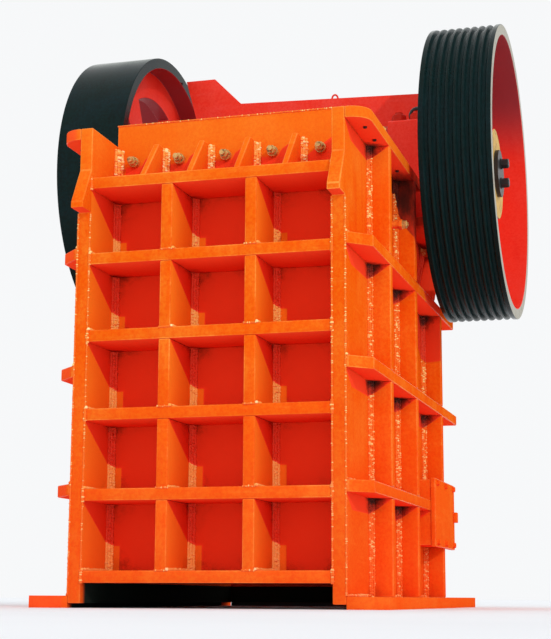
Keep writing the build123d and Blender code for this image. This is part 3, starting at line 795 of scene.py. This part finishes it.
def outer_face(node, sign):
    """Where a node ends on the side of the sign."""
    low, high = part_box(node)
    return high.x if sign > 0 else low.x


class CRUSHER_OT_frame_plates(bpy.types.Operator):
    """Welded frame: plates, ribs, posts and feet with rounded, painted edges"""

    bl_idname = "crusher.frame_plates"
    bl_label = "Frame plates"

    def execute(self, context):
        width = context.scene.crusher_sizes.edge_round
        for node in ORANGE_NODES:
            rounded(node, width, ["frame_enamel", "edge_enamel"])
        return {"FINISHED"}


class CRUSHER_OT_bearings(bpy.types.Operator):
    """Bearing blocks and the guard over the shaft"""

    bl_idname = "crusher.bearings"
    bl_label = "Bearings and guard"

    def execute(self, context):
        width = context.scene.crusher_sizes.edge_round
        for node in pairs("bearing"):
            rounded(node, width * 1.6, ["bearing_enamel"])
        rounded("shaft_guard", width * 0.8, ["red_enamel"])
        return {"FINISHED"}


def wheel_finish(face, side, rim_inside, faces):
    """Material number of a wheel's face: dark rim, red web, bare rim face, hub end or groove."""
    radii = [math.hypot(v.co.y - SHAFT.y, v.co.z - SHAFT.z) for v in face.verts]
    flat = abs(face.normal.x) > 0.9
    at_side = min(abs(abs(v.co.x) - x) for v in face.verts for x in faces) < 0.004
    if min(radii) > rim_inside - 0.004 and max(radii) > rim_inside + 0.008:
        if flat and at_side:
            return 2 if side > 0 else 0
        return 4 if min(radii) < rim_inside + GROOVE_DEPTH else 0
    if flat and max(radii) < HUB_REACH and face.normal.x * side > 0:
        return 3
    return 1


class CRUSHER_OT_wheels(bpy.types.Operator):
    """Flywheel and belt pulley with dark rims and red webs"""

    bl_idname = "crusher.wheels"
    bl_label = "Wheels"

    def execute(self, context):
        materials = ["wheel_enamel", "web_enamel", "rim_metal", "hub_coating", "groove_enamel"]
        for node, side in (("flywheel", -1), ("belt_pulley", 1)):
            shape = merged_copy(node)
            round_edges(shape, 0.0025, 1)
            low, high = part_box(node)
            rim_inside = (high.z - low.z) / 2 - RIM_DEPTH
            for face in shape.faces:
                face.material_index = wheel_finish(face, side, rim_inside, (abs(low.x), abs(high.x)))
            smooth_faces(shape, 25)
            stand_in(shape, node, "painted", materials)
        coat("shaft_end_plates", "black_steel")
        coat("eccentric_shaft", "machined_steel")
        return {"FINISHED"}


class CRUSHER_OT_chamber(bpy.types.Operator):
    """Jaw plates, cheek plates, swing jaw casting, toggle, tension rod and a black block under the rear sill, as
    painted shade
    """

    bl_idname = "crusher.chamber"
    bl_label = "Chamber and toggle"

    def execute(self, context):
        for node in ("fixed_jaw_plate", "swing_jaw_plate"):
            rounded(node, 0.006, ["liner_steel"], "cast")
        for node in ("swing_jaw_casting", "toggle_seat", "toggle_plate"):
            rounded(node, 0.008, ["casting_enamel"])
        for node in pairs("cheek_plate"):
            coat(node, "liner_steel")
        # Painted shade: a black block fills the gap under the rear sill, where there is only shade.
        low, high = min(solids_of("rear_wall"), key=lambda box: box[0].z)
        middle = ((low.x + high.x) / 2, (low.y + high.y) / 2, low.z / 2)
        shade_block = block(middle, (high.x - low.x, high.y - low.y, low.z))
        finished(shade_block, "rear_packing", "frame", ["black_steel"], slot="black_steel")
        coat("tension_rod", "machined_steel")
        return {"FINISHED"}


# Repeated details


def from_nodes(piece, group, **inputs):
    """Runs a node group on a piece and keeps the result as a plain mesh."""
    bpy.context.scene.collection.objects.link(piece)
    modifier = piece.modifiers.new("made", "NODES")
    modifier.node_group = bpy.data.node_groups[group]
    for item in modifier.node_group.interface.items_tree:
        key = item.name.replace(" ", "_").lower()
        if item.in_out == "INPUT" and key in inputs:
            modifier[item.identifier] = inputs[key]
    bpy.context.view_layer.update()
    evaluated = piece.evaluated_get(bpy.context.evaluated_depsgraph_get())
    mesh = bpy.data.meshes.new_from_object(evaluated)
    piece.modifiers.clear()
    mesh.name = piece.name
    piece.data = mesh


def joined(tree, *pieces):
    node = tree.nodes.new("GeometryNodeJoinGeometry")
    for piece in pieces:
        feed(piece, node.inputs[0])
    return Wire(node.outputs[0])


def weld_tree():
    """Overlapping ripples along every line of the input mesh. Its bead attribute is each run's half width."""
    inputs = {"Geometry": "Geometry", "Pitch": 0.013, "Finish": "Material"}
    start, end = new_group("weld_ripples", "GeometryNodeTree", inputs, {"Geometry": "Geometry"})
    tree = start.tree

    def chance(kind, low, high, seed):
        return add(tree, "FunctionNodeRandomValue", {"data_type": kind}, Min=low, Max=high, Seed=seed)

    runs = add(tree, "GeometryNodeMeshToCurve", Mesh=start["Geometry"])
    points = add(tree, "GeometryNodeResampleCurve", {"mode": "LENGTH"}, Curve=runs, Length=start["Pitch"])
    ripple = add(tree, "GeometryNodeMeshUVSphere", Segments=7, Rings=4, Radius=1.0)
    tangent = add(tree, "GeometryNodeInputTangent")
    turn = add(tree, "FunctionNodeAlignRotationToVector", {"axis": "X"}, Vector=tangent)
    bead = add(tree, "GeometryNodeInputNamedAttribute", {"data_type": "FLOAT"}, Name="bead")
    shift = chance("FLOAT_VECTOR", (-1, -1, -1), (1, 1, 1), 9)
    wander = add(tree, "ShaderNodeVectorMath", {"operation": "SCALE"}, Vector=shift, Scale=bead * 0.24)
    moved = add(tree, "GeometryNodeSetPosition", Geometry=points, Offset=wander)
    scale = bead * chance("FLOAT", 0.80, 1.22, 4)
    flat = add(tree, "ShaderNodeCombineXYZ", X=scale * 0.8, Y=scale, Z=scale)
    copies = add(
        tree, "GeometryNodeInstanceOnPoints", Points=moved, Instance=ripple, Rotation=turn, Scale=flat
    )
    # A random tone for each ripple; the weld enamel uses it to pick ripples for a painted glint.
    glint_marked = add(
        tree, "GeometryNodeStoreNamedAttribute", {"data_type": "FLOAT", "domain": "INSTANCE"},
        Geometry=copies, Name="tone", Value=chance("FLOAT", 0.0, 1.0, 21),
    )
    ring = add(tree, "GeometryNodeCurvePrimitiveCircle", {"mode": "RADIUS"}, Resolution=8, Radius=1.0)
    core = add(
        tree, "GeometryNodeCurveToMesh", Curve=runs, Profile_Curve=ring, Scale=bead * 0.86, Fill_Caps=True
    )
    real = add(tree, "GeometryNodeRealizeInstances", Geometry=joined(tree, glint_marked, core))
    smooth = add(tree, "GeometryNodeSetShadeSmooth", Geometry=real)
    put(end, Geometry=add(tree, "GeometryNodeSetMaterial", Geometry=smooth, Material=start["Finish"]))


def bolt_tree():
    """A nut, washer and stud at every point of the input mesh, along its axis attribute."""
    lengths = {
        "Radius": 0.03, "Height": 0.03, "Washer": 0.045, "Washer Height": 0.006, "Stud": 0.016,
        "Stud Length": 0.05,
    }
    inputs = {"Geometry": "Geometry", **lengths, "Finish": "Material"}
    start, end = new_group("nut_and_stud", "GeometryNodeTree", inputs, {"Geometry": "Geometry"})
    tree = start.tree
    radius, height, washer_top = start["Radius"], start["Height"], start["Washer Height"]

    def raised(shape, lift):
        shift = add(tree, "ShaderNodeCombineXYZ", Z=lift)
        return add(tree, "GeometryNodeTransform", Geometry=shape, Translation=shift)

    def turned(sides, radius, height, base):
        """A prism or disc that stands on the given height."""
        disc = add(tree, "GeometryNodeMeshCylinder", Vertices=sides, Radius=radius, Depth=height)
        return raised(disc, height * 0.5 + base)

    cap = add(
        tree, "GeometryNodeMeshCone", Vertices=6, Radius_Top=radius * 0.84, Radius_Bottom=radius,
        Depth=height * 0.14,
    )
    bolt = joined(
        tree,
        turned(20, start["Washer"], washer_top, 0.0),
        turned(6, radius, height, washer_top),
        raised(cap, washer_top + height),
        turned(12, start["Stud"], start["Stud Length"], washer_top),
    )
    axis = add(tree, "GeometryNodeInputNamedAttribute", {"data_type": "FLOAT_VECTOR"}, Name="axis")
    turn = add(tree, "FunctionNodeAlignRotationToVector", {"axis": "Z"}, Vector=axis)
    copies = add(
        tree, "GeometryNodeInstanceOnPoints", Points=start["Geometry"], Instance=bolt, Rotation=turn
    )
    real = add(tree, "GeometryNodeRealizeInstances", Geometry=copies)
    put(end, Geometry=add(tree, "GeometryNodeSetMaterial", Geometry=real, Material=start["Finish"]))


def bolts(name, points, axis, size, material, body="frame"):
    """One piece with a nut, washer and stud at every point. All of them point along the axis."""
    mesh = bpy.data.meshes.new(name)
    mesh.from_pydata(points, [], [])
    mesh.attributes.new("axis", "FLOAT_VECTOR", "POINT").data.foreach_set("vector", axis * len(points))
    piece = bpy.data.objects.new(name, mesh)
    from_nodes(piece, "nut_and_stud", finish=bpy.data.materials[material], **size._asdict())
    place(piece, body)


def sized(shares, radius):
    return Bolt(*(share * radius for share in shares))


class CRUSHER_OT_fasteners(bpy.types.Operator):
    """Nuts, bolts and studs"""

    bl_idname = "crusher.fasteners"
    bl_label = "Fasteners"

    def execute(self, context):
        sizes = context.scene.crusher_sizes
        bolt_tree()
        self.jaw_bolts(sizes.front_nut)
        for side, sign in SIDE_SIGNS.items():
            self.cover_bolts(side, sign, sizes.cover_bolt)
            self.cheek_studs(side, sign)
            self.bearing_bolts(side, sign, sizes.bearing_bolt)
            self.end_bolts(side, sign, sizes.end_bolt)
            self.flange_bolts(side, sign)
        return {"FINISHED"}

    def jaw_bolts(self, radius):
        """Long studs of the fixed jaw plate, between and beside the gussets."""
        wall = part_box("front_wall")[0].y
        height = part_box("front_rib_1")[1].z + JAW_BOLT_RISE
        points = [(JAW_BOLT_SPACING * number - JAW_BOLT_SHIFT, wall, height) for number in range(-2, 3)]
        bolts("jaw_bolts", points, (0, -1, 0), sized(JAW_SHARES, radius), "bolt_plating")

    def cover_bolts(self, side, sign, radius):
        low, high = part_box(f"window_cover_{side}")
        x = outer_face(f"window_cover_{side}", sign)
        inset, margin = COVER_BOLT_INSET
        rows = [low.y + inset, (low.y + high.y) / 2, high.y - inset]
        points = [(x, y, z) for y in rows for z in (low.z + margin, high.z - margin)]
        size = sized(COVER_SHARES, radius)
        bolts(f"cover_bolts_{side}", points, (sign, 0, 0), size, "frame_enamel")

    def cheek_studs(self, side, sign):
        """A stud of the cheek plate that stands out of the side plate, and its nut."""
        x = outer_face(f"side_plate_{side}", sign)
        stud, nut = (x, *CHEEK_STUD_PLACE), (x + sign * 0.073, *CHEEK_STUD_PLACE)
        bolts(f"cheek_studs_{side}", [stud], (sign, 0, 0), CHEEK_STUD, "edge_enamel")
        bolts(f"cheek_nuts_{side}", [nut], (sign, 0, 0), CHEEK_NUT, "bolt_plating")

    def bearing_bolts(self, side, sign, radius):
        """Nuts on top of the bearing block, and a ring of bolts in its cap."""
        low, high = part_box(f"bearing_{side}")
        inner, outer = (low.x, high.x) if sign > 0 else (high.x, low.x)
        across = [inner + sign * 0.050, outer - sign * 0.080]
        points = [(x, y, high.z) for x in across for y in (low.y + 0.065, high.y - 0.055)]
        size = sized(BEARING_SHARES, radius)
        bolts(f"bearing_bolts_{side}", points, (0, 0, 1), size, "casting_enamel")
        turns = [math.radians(22.5 + 45 * number) for number in range(8)]
        ring = [
            (outer, SHAFT.y + CAP_BOLT_RING * math.cos(a), SHAFT.z + CAP_BOLT_RING * math.sin(a))
            for a in turns
        ]
        bolts(f"bearing_cap_bolts_{side}", ring, (sign, 0, 0), CAP_BOLT, "bolt_plating")

    def end_bolts(self, side, sign, radius):
        x = outer_face("shaft_end_plates", sign)
        points = [(x, SHAFT.y, SHAFT.z + offset) for offset in (-END_BOLT_OFFSET, END_BOLT_OFFSET)]
        size = Bolt(radius, 0.034, radius * 1.1, 0.005, radius * 0.45, 0.036)
        name = f"shaft_end_bolts_{side}"
        bolts(name, points, (sign, 0, 0), size, "black_steel", "rotor")

    def flange_bolts(self, side, sign):
        """Bolt heads under the top rib of the side plate, and one bolt that stands on it."""
        low, high = max(solids_of(f"side_ribs_{side}"), key=lambda box: box[1].z)
        points = [(sign * FLANGE_BOLT_REACH, y, low.z) for y in FLANGE_BOLT_DEPTHS]
        bolts(f"flange_bolts_{side}", points, (0, 0, -1), FLANGE_BOLT, "black_steel")
        x, y = FLANGE_STUD_PLACE
        bolts(f"flange_stud_{side}", [(sign * x, y, high.z)], (0, 0, 1), FLANGE_STUD, "hub_coating")


# Welds


def corner_runs(first, last, face_one, face_two, bead):
    """Three weld runs in the corner of two faces: one in the corner and one on each face."""
    one, two = Vector(face_one) * bead, Vector(face_two) * bead
    offsets = [(one + two) * 0.75, one * 2.0 + two * 0.2, two * 2.0 + one * 0.2]
    sizes = (bead * 1.15, bead * 0.75, bead * 0.75)
    return [(Vector(first) + offset, Vector(last) + offset, size) for offset, size in zip(offsets, sizes)]


def corner_run(*corner):
    """The one weld run in the corner itself."""
    return corner_runs(*corner)[:1]


def weld_piece(name, runs, pitch, finish="weld_enamel"):
    """One piece with every listed run of weld."""
    points, edges, beads = [], [], []
    for first, last, bead in runs:
        edges.append((len(points), len(points) + 1))
        points += [tuple(first), tuple(last)]
        beads += [bead, bead]
    mesh = bpy.data.meshes.new(name)
    mesh.from_pydata(points, edges, [])
    mesh.attributes.new("bead", "FLOAT", "POINT").data.foreach_set("value", beads)
    piece = bpy.data.objects.new(name, mesh)
    from_nodes(piece, "weld_ripples", pitch=pitch, finish=bpy.data.materials[finish])
    place(piece, "frame")


def pocket_welds(bead):
    """Runs in the corners of the front wall's pockets."""
    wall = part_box("front_wall")[0].y
    ribs = [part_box(node) for node in FRONT_RIBS]
    posts = [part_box(node) for node in FRONT_POSTS]
    front = ribs[0][0].y
    lefts = [ribs[0][0].x, *(post[1].x for post in posts)]
    rights = [*(post[0].x for post in posts), ribs[0][1].x]
    runs = []
    for above, below in zip(ribs, ribs[1:]):
        low, high = below[1].z, above[0].z
        for left, right in zip(lefts, rights):
            for x, inward in ((left, 1), (right, -1)):
                runs += corner_runs((x, wall, low), (x, wall, high), (inward, 0, 0), (0, -1, 0), bead)
            runs += corner_run((left, front, low), (left, wall, low), (1, 0, 0), (0, 0, 1), bead * 0.6)
    return runs


def gusset_welds(bead):
    """Runs along the gussets, and in the corners of the front wall and the side plates above the top rib."""
    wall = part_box("front_wall")[0].y
    rib_low, rib_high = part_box("front_rib_1")
    runs = []
    for low, high in solids_of("front_gussets"):
        for x, outward in ((low.x, -1), (high.x, 1)):
            out = (outward, 0, 0)
            runs += corner_run((x, low.y + 0.02, low.z), (x, high.y, low.z), out, (0, 0, 1), bead * 0.6)
            runs += corner_runs((x, wall, low.z), (x, wall, high.z - 0.01), out, (0, -1, 0), bead)
    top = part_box("side_plate_left")[1].z - 0.03
    for x, inward in ((rib_low.x, 1), (rib_high.x, -1)):
        runs += corner_runs((x, wall, rib_high.z), (x, wall, top), (inward, 0, 0), (0, -1, 0), bead * 1.25)
    return runs


def edge_welds(bead):
    """Thin runs on the front edges of the side plates, and beads where ribs and posts end on the front."""
    rib_low, rib_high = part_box("front_rib_1")
    front, plate = rib_low.y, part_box("side_plate_right")[1].x
    runs = []

    def run(first, last, share):
        runs.append((Vector(first), Vector(last), bead * share))

    for x in (rib_low.x, rib_high.x):
        run((x, front, 0.12), (x, front, NOSE_FOOT), 0.42)
        for node in FRONT_RIBS:
            low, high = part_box(node)
            run((x, front, low.z), (x, front, high.z), 0.75)
    for x in (-plate, plate):
        run((x, front, 0.06), (x, front, NOSE_FOOT), 0.42)
    low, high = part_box("front_wall")
    run((low.x, low.y, high.z), (high.x, low.y, high.z), 0.42)
    for post in FRONT_POSTS:
        left, right = (corner.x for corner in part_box(post))
        for node in FRONT_RIBS[1:]:
            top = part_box(node)[1].z
            run((left, front, top), (right, front, top), 0.45)
    return runs


def rear_welds(bead):
    """Runs beside the posts and under the ribs of the rear wall."""
    left, right = (corner.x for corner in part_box("rear_wall"))
    runs = []
    for low, high in solids_of("rear_posts"):
        for x, outward in ((low.x, -1), (high.x, 1)):
            runs += corner_run((x, low.y, low.z), (x, low.y, high.z), (outward, 0, 0), (0, 1, 0), bead)
    for low, _ in solids_of("rear_ribs"):
        runs += corner_run((left, low.y, low.z), (right, low.y, low.z), (0, 1, 0), (0, 0, -1), bead)
    return runs


def side_welds(side, bead):
    """Runs along the posts, braces and ribs on the outside of a side plate."""
    sign = SIDE_SIGNS[side]
    plate_low, plate_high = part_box(f"side_plate_{side}")
    x, out, up = outer_face(f"side_plate_{side}", sign), (sign, 0, 0), (0, 0, 1)
    runs = []
    for low, high in solids_of(f"side_posts_{side}"):
        if high.y - low.y > BRACE_LENGTH:
            for y, ahead in ((low.y, -1), (low.y + BRACE_WIDTH, 1)):
                runs += corner_runs((x, y, low.z), (x, y + BRACE_RUN, high.z), out, (0, ahead, 0), bead)
        else:
            runs += corner_runs((x, low.y, low.z), (x, low.y, high.z), out, (0, -1, 0), bead)
            runs += corner_run((x, high.y, low.z), (x, high.y, high.z), out, (0, 1, 0), bead)
    for low, high in solids_of(f"side_ribs_{side}"):
        if high.z < plate_high.z - 0.1:
            runs += corner_run((x, low.y, high.z), (x, high.y, high.z), out, up, bead * 0.6)
    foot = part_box(f"foot_{side}")[1].z
    runs += corner_run((x, plate_low.y + 0.1, foot), (x, plate_high.y, foot), out, up, bead * 0.7)
    return runs


class CRUSHER_OT_welds(bpy.types.Operator):
    """Weld beads between the plates of the frame"""

    bl_idname = "crusher.welds"
    bl_label = "Welds"

    def execute(self, context):
        sizes = context.scene.crusher_sizes
        bead, pitch = sizes.weld_bead, sizes.weld_pitch
        weld_tree()
        weld_piece("pocket_welds", pocket_welds(bead), pitch, "front_weld_enamel")
        weld_piece("gusset_welds", gusset_welds(bead), pitch, "front_weld_enamel")
        weld_piece("edge_welds", edge_welds(bead), pitch)
        weld_piece("rear_welds", rear_welds(bead * 0.7), pitch)
        for side in SIDE_SIGNS:
            weld_piece(f"side_welds_{side}", side_welds(side, bead * 0.82), pitch)
        return {"FINISHED"}


# Bent bars


def tube(points, radius, sides=10):
    """A closed bmesh tube along a line of points."""
    shape = bmesh.new()
    rings = []
    points = [Vector(p) for p in points]
    turns = [2 * math.pi * s / sides for s in range(sides)]
    across = None
    for index, point in enumerate(points):
        ahead = (points[min(index + 1, len(points) - 1)] - points[max(index - 1, 0)]).normalized()
        if across is None:
            across = ahead.orthogonal().normalized()
        across = (across - ahead * across.dot(ahead)).normalized()
        other = ahead.cross(across)
        ring = [point + (across * math.cos(a) + other * math.sin(a)) * radius for a in turns]
        rings.append([shape.verts.new(spot) for spot in ring])
    for first, second in zip(rings, rings[1:]):
        for s in range(sides):
            shape.faces.new((first[s], first[(s + 1) % sides], second[(s + 1) % sides], second[s]))
    shape.faces.new(list(reversed(rings[0])))
    shape.faces.new(rings[-1])
    bmesh.ops.recalc_face_normals(shape, faces=shape.faces)
    return shape


class CRUSHER_OT_spring(bpy.types.Operator):
    """Coil spring on the tension rod"""

    bl_idname = "crusher.spring"
    bl_label = "Tension spring"

    def execute(self, context):
        wire = context.scene.crusher_sizes.spring_wire
        low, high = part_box("tension_spring")
        centre = (low + high) / 2
        radius = (high.z - low.z) / 2 - wire / 2
        turns, count = 4.5, 120
        points = []
        for step in range(count + 1):
            share = step / count
            angle = 2 * math.pi * turns * share
            y = low.y + wire / 2 + (high.y - low.y - wire) * min(1, max(0, share * 1.16 - 0.08))
            points.append((centre.x + radius * math.cos(angle), y, centre.z + radius * math.sin(angle)))
        shape = tube(points, wire / 2, 12)
        smooth_faces(shape)
        finished(shape, "tension_spring_coil", "frame", ["machined_steel"], ("tension_spring",), "steel")
        return {"FINISHED"}


def lifting_eye(base, radius, wire):
    """A ring on a short collar that stands on the given point."""
    base = Vector(base)
    centre = base + Vector((0, 0, radius + wire))
    turns = [2 * math.pi * step / 28 - math.pi / 2 for step in range(29)]
    shape = tube([centre + Vector((radius * math.cos(a), 0, radius * math.sin(a))) for a in turns], wire)
    bmesh.ops.create_cone(
        shape, cap_ends=True, segments=16, radius1=wire * 2.0, radius2=wire * 1.5, depth=wire * 1.6,
        matrix=Matrix.Translation(base + Vector((0, 0, wire * 0.8))),
    )
    return shape


class CRUSHER_OT_lifting_eyes(bpy.types.Operator):
    """Eyebolts on the bearing blocks, the arch on the guard and the lugs of the window covers"""

    bl_idname = "crusher.lifting_eyes"
    bl_label = "Lifting eyes and lugs"

    def execute(self, context):
        for side, sign in SIDE_SIGNS.items():
            low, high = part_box(f"bearing_{side}")
            shape = lifting_eye((EYE_REACH * sign, low.y + 0.10, high.z), EYE_RADIUS, EYE_WIRE)
            smooth_faces(shape)
            finished(shape, f"bearing_eye_{side}", "frame", ["black_steel"], slot="black_steel")
            low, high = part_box(f"window_cover_{side}")
            x = outer_face(f"window_cover_{side}", sign) + sign * 0.010
            shape = block((x, high.y - 0.028, (low.z + high.z) / 2), LUG_SIZE)
            round_edges(shape, 0.003)
            smooth_faces(shape)
            finished(shape, f"cover_lug_{side}", "frame", ["frame_enamel"], slot="orange_paint")
        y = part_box("shaft_guard")[0].y + 0.008
        (x, z), (half, rise) = ARCH_PLACE, ARCH_SIZE
        turns = [math.pi * step / 16 for step in range(17)]
        shape = tube([(x + half * math.cos(a), y, z + rise * math.sin(a)) for a in turns], 0.0055, 8)
        smooth_faces(shape)
        finished(shape, "guard_arch", "frame", ["red_enamel"], slot="red_paint")
        return {"FINISHED"}


# Stage


def floor_paint(colour):
    """Pale floor that keeps the machine's shadow and fades into the backdrop."""
    shader, vector = new_material("floor_paint")
    cloud = noise(vector, 0.6, 3.0)
    tone = mixed(span(cloud, 0.3, 0.7), solid(colour), solid(c * 0.97 for c in colour))
    put(shader, Base_Color=tone, Roughness=0.85, Specular_IOR_Level=0.1)


def studio_world(fill):
    """Light from all round, and a pale backdrop for the camera and for reflections."""
    world = bpy.data.worlds.new("studio")
    bpy.context.scene.world = world
    world.use_nodes = True
    tree = world.node_tree
    tree.nodes.clear()
    path = add(tree, "ShaderNodeLightPath")
    seen = path["Is Camera Ray"] + path["Is Glossy Ray"]
    seen = maths("ADD", seen, path["Is Transmission Ray"], clamp=True)
    light = add(tree, "ShaderNodeBackground", Color=(0.95, 0.97, 1.0, 1), Strength=fill)
    backdrop = add(tree, "ShaderNodeBackground", Color=(0.93, 0.94, 0.95, 1), Strength=1.0)
    both = tree.nodes.new("ShaderNodeMixShader")
    for value, socket in zip((seen, light, backdrop), both.inputs):
        feed(value, socket)
    put(tree.nodes.new("ShaderNodeOutputWorld"), Surface=Wire(both.outputs[0]))


def camera_matrix():
    yaw, pitch, roll = (math.radians(angle) for angle in CAMERA_TURN)
    right = Vector((math.cos(yaw), math.sin(yaw), 0))
    ahead = Vector((-math.sin(yaw) * math.cos(pitch), math.cos(yaw) * math.cos(pitch), math.sin(pitch)))
    up = right.cross(ahead)
    x_axis = right * math.cos(roll) + up * math.sin(roll)
    y_axis = up * math.cos(roll) - right * math.sin(roll)
    return Matrix.Translation(CAMERA_PLACE) @ Matrix((x_axis, y_axis, -ahead)).transposed().to_4x4()


class CRUSHER_OT_stage(bpy.types.Operator):
    """Floor, lights and camera"""

    bl_idname = "crusher.stage"
    bl_label = "Stage"

    def execute(self, context):
        scene = context.scene
        stage = scene.crusher_stage
        scene.view_settings.view_transform = "Standard"
        studio_world(stage.fill)
        floor_paint(tuple(stage.floor))
        mesh = bpy.data.meshes.new("floor")
        mesh.from_pydata([(-40, -40, 0), (40, -40, 0), (40, 40, 0), (-40, 40, 0)], [], [(0, 1, 2, 3)])
        mesh.materials.append(bpy.data.materials["floor_paint"])
        floor = bpy.data.objects.new("floor", mesh)
        scene.collection.objects.link(floor)
        key = bpy.data.lights.new("key", "SUN")
        key.energy, key.angle, key.color = stage.key, math.radians(1.2), (1.0, 0.985, 0.96)
        lamp = bpy.data.objects.new("key", key)
        lamp.rotation_euler = Vector((-SUN_LEAN, 1.0, -SUN_DROP)).to_track_quat("-Z", "Y").to_euler()
        scene.collection.objects.link(lamp)
        view = bpy.data.cameras.new("photo_view")
        view.lens, view.sensor_width, view.sensor_fit = stage.lens, 36.0, "AUTO"
        view.clip_start, view.clip_end = 0.05, 200
        camera = bpy.data.objects.new("photo_view", view)
        camera.matrix_world = camera_matrix()
        scene.collection.objects.link(camera)
        scene.camera = camera
        return {"FINISHED"}


class CRUSHER_PT_finish(bpy.types.Panel):
    """Lists the steps that finish the crusher"""

    bl_idname = "CRUSHER_PT_finish"
    bl_label = "Jaw crusher"
    bl_space_type = "VIEW_3D"
    bl_region_type = "UI"
    bl_category = "Crusher"

    def draw(self, context):
        for name in GROUPS:
            group = getattr(context.scene, name)
            box = self.layout.box()
            for key in group.bl_rna.properties.keys():
                if key not in ("rna_type", "name"):
                    box.prop(group, key)
        for step in STEPS:
            self.layout.operator(step.bl_idname)


STEPS = (
    CRUSHER_OT_finishes, CRUSHER_OT_stage, CRUSHER_OT_frame_plates, CRUSHER_OT_bearings, CRUSHER_OT_wheels,
    CRUSHER_OT_chamber, CRUSHER_OT_fasteners, CRUSHER_OT_welds, CRUSHER_OT_spring, CRUSHER_OT_lifting_eyes,
)
GROUPS = {"crusher_colours": CrusherColours, "crusher_sizes": CrusherSizes, "crusher_stage": CrusherStage}


def register():
    for group in (*GROUPS.values(), *STEPS, CRUSHER_PT_finish):
        bpy.utils.register_class(group)
    for name, group in GROUPS.items():
        setattr(bpy.types.Scene, name, bpy.props.PointerProperty(type=group))


def unregister():
    for name in GROUPS:
        delattr(bpy.types.Scene, name)
    for group in (CRUSHER_PT_finish, *reversed(STEPS), *GROUPS.values()):
        bpy.utils.unregister_class(group)


def main():
    register()
    for step in STEPS:
        area, name = step.bl_idname.split(".")
        getattr(getattr(bpy.ops, area), name)()


if __name__ == "__main__":
    main()
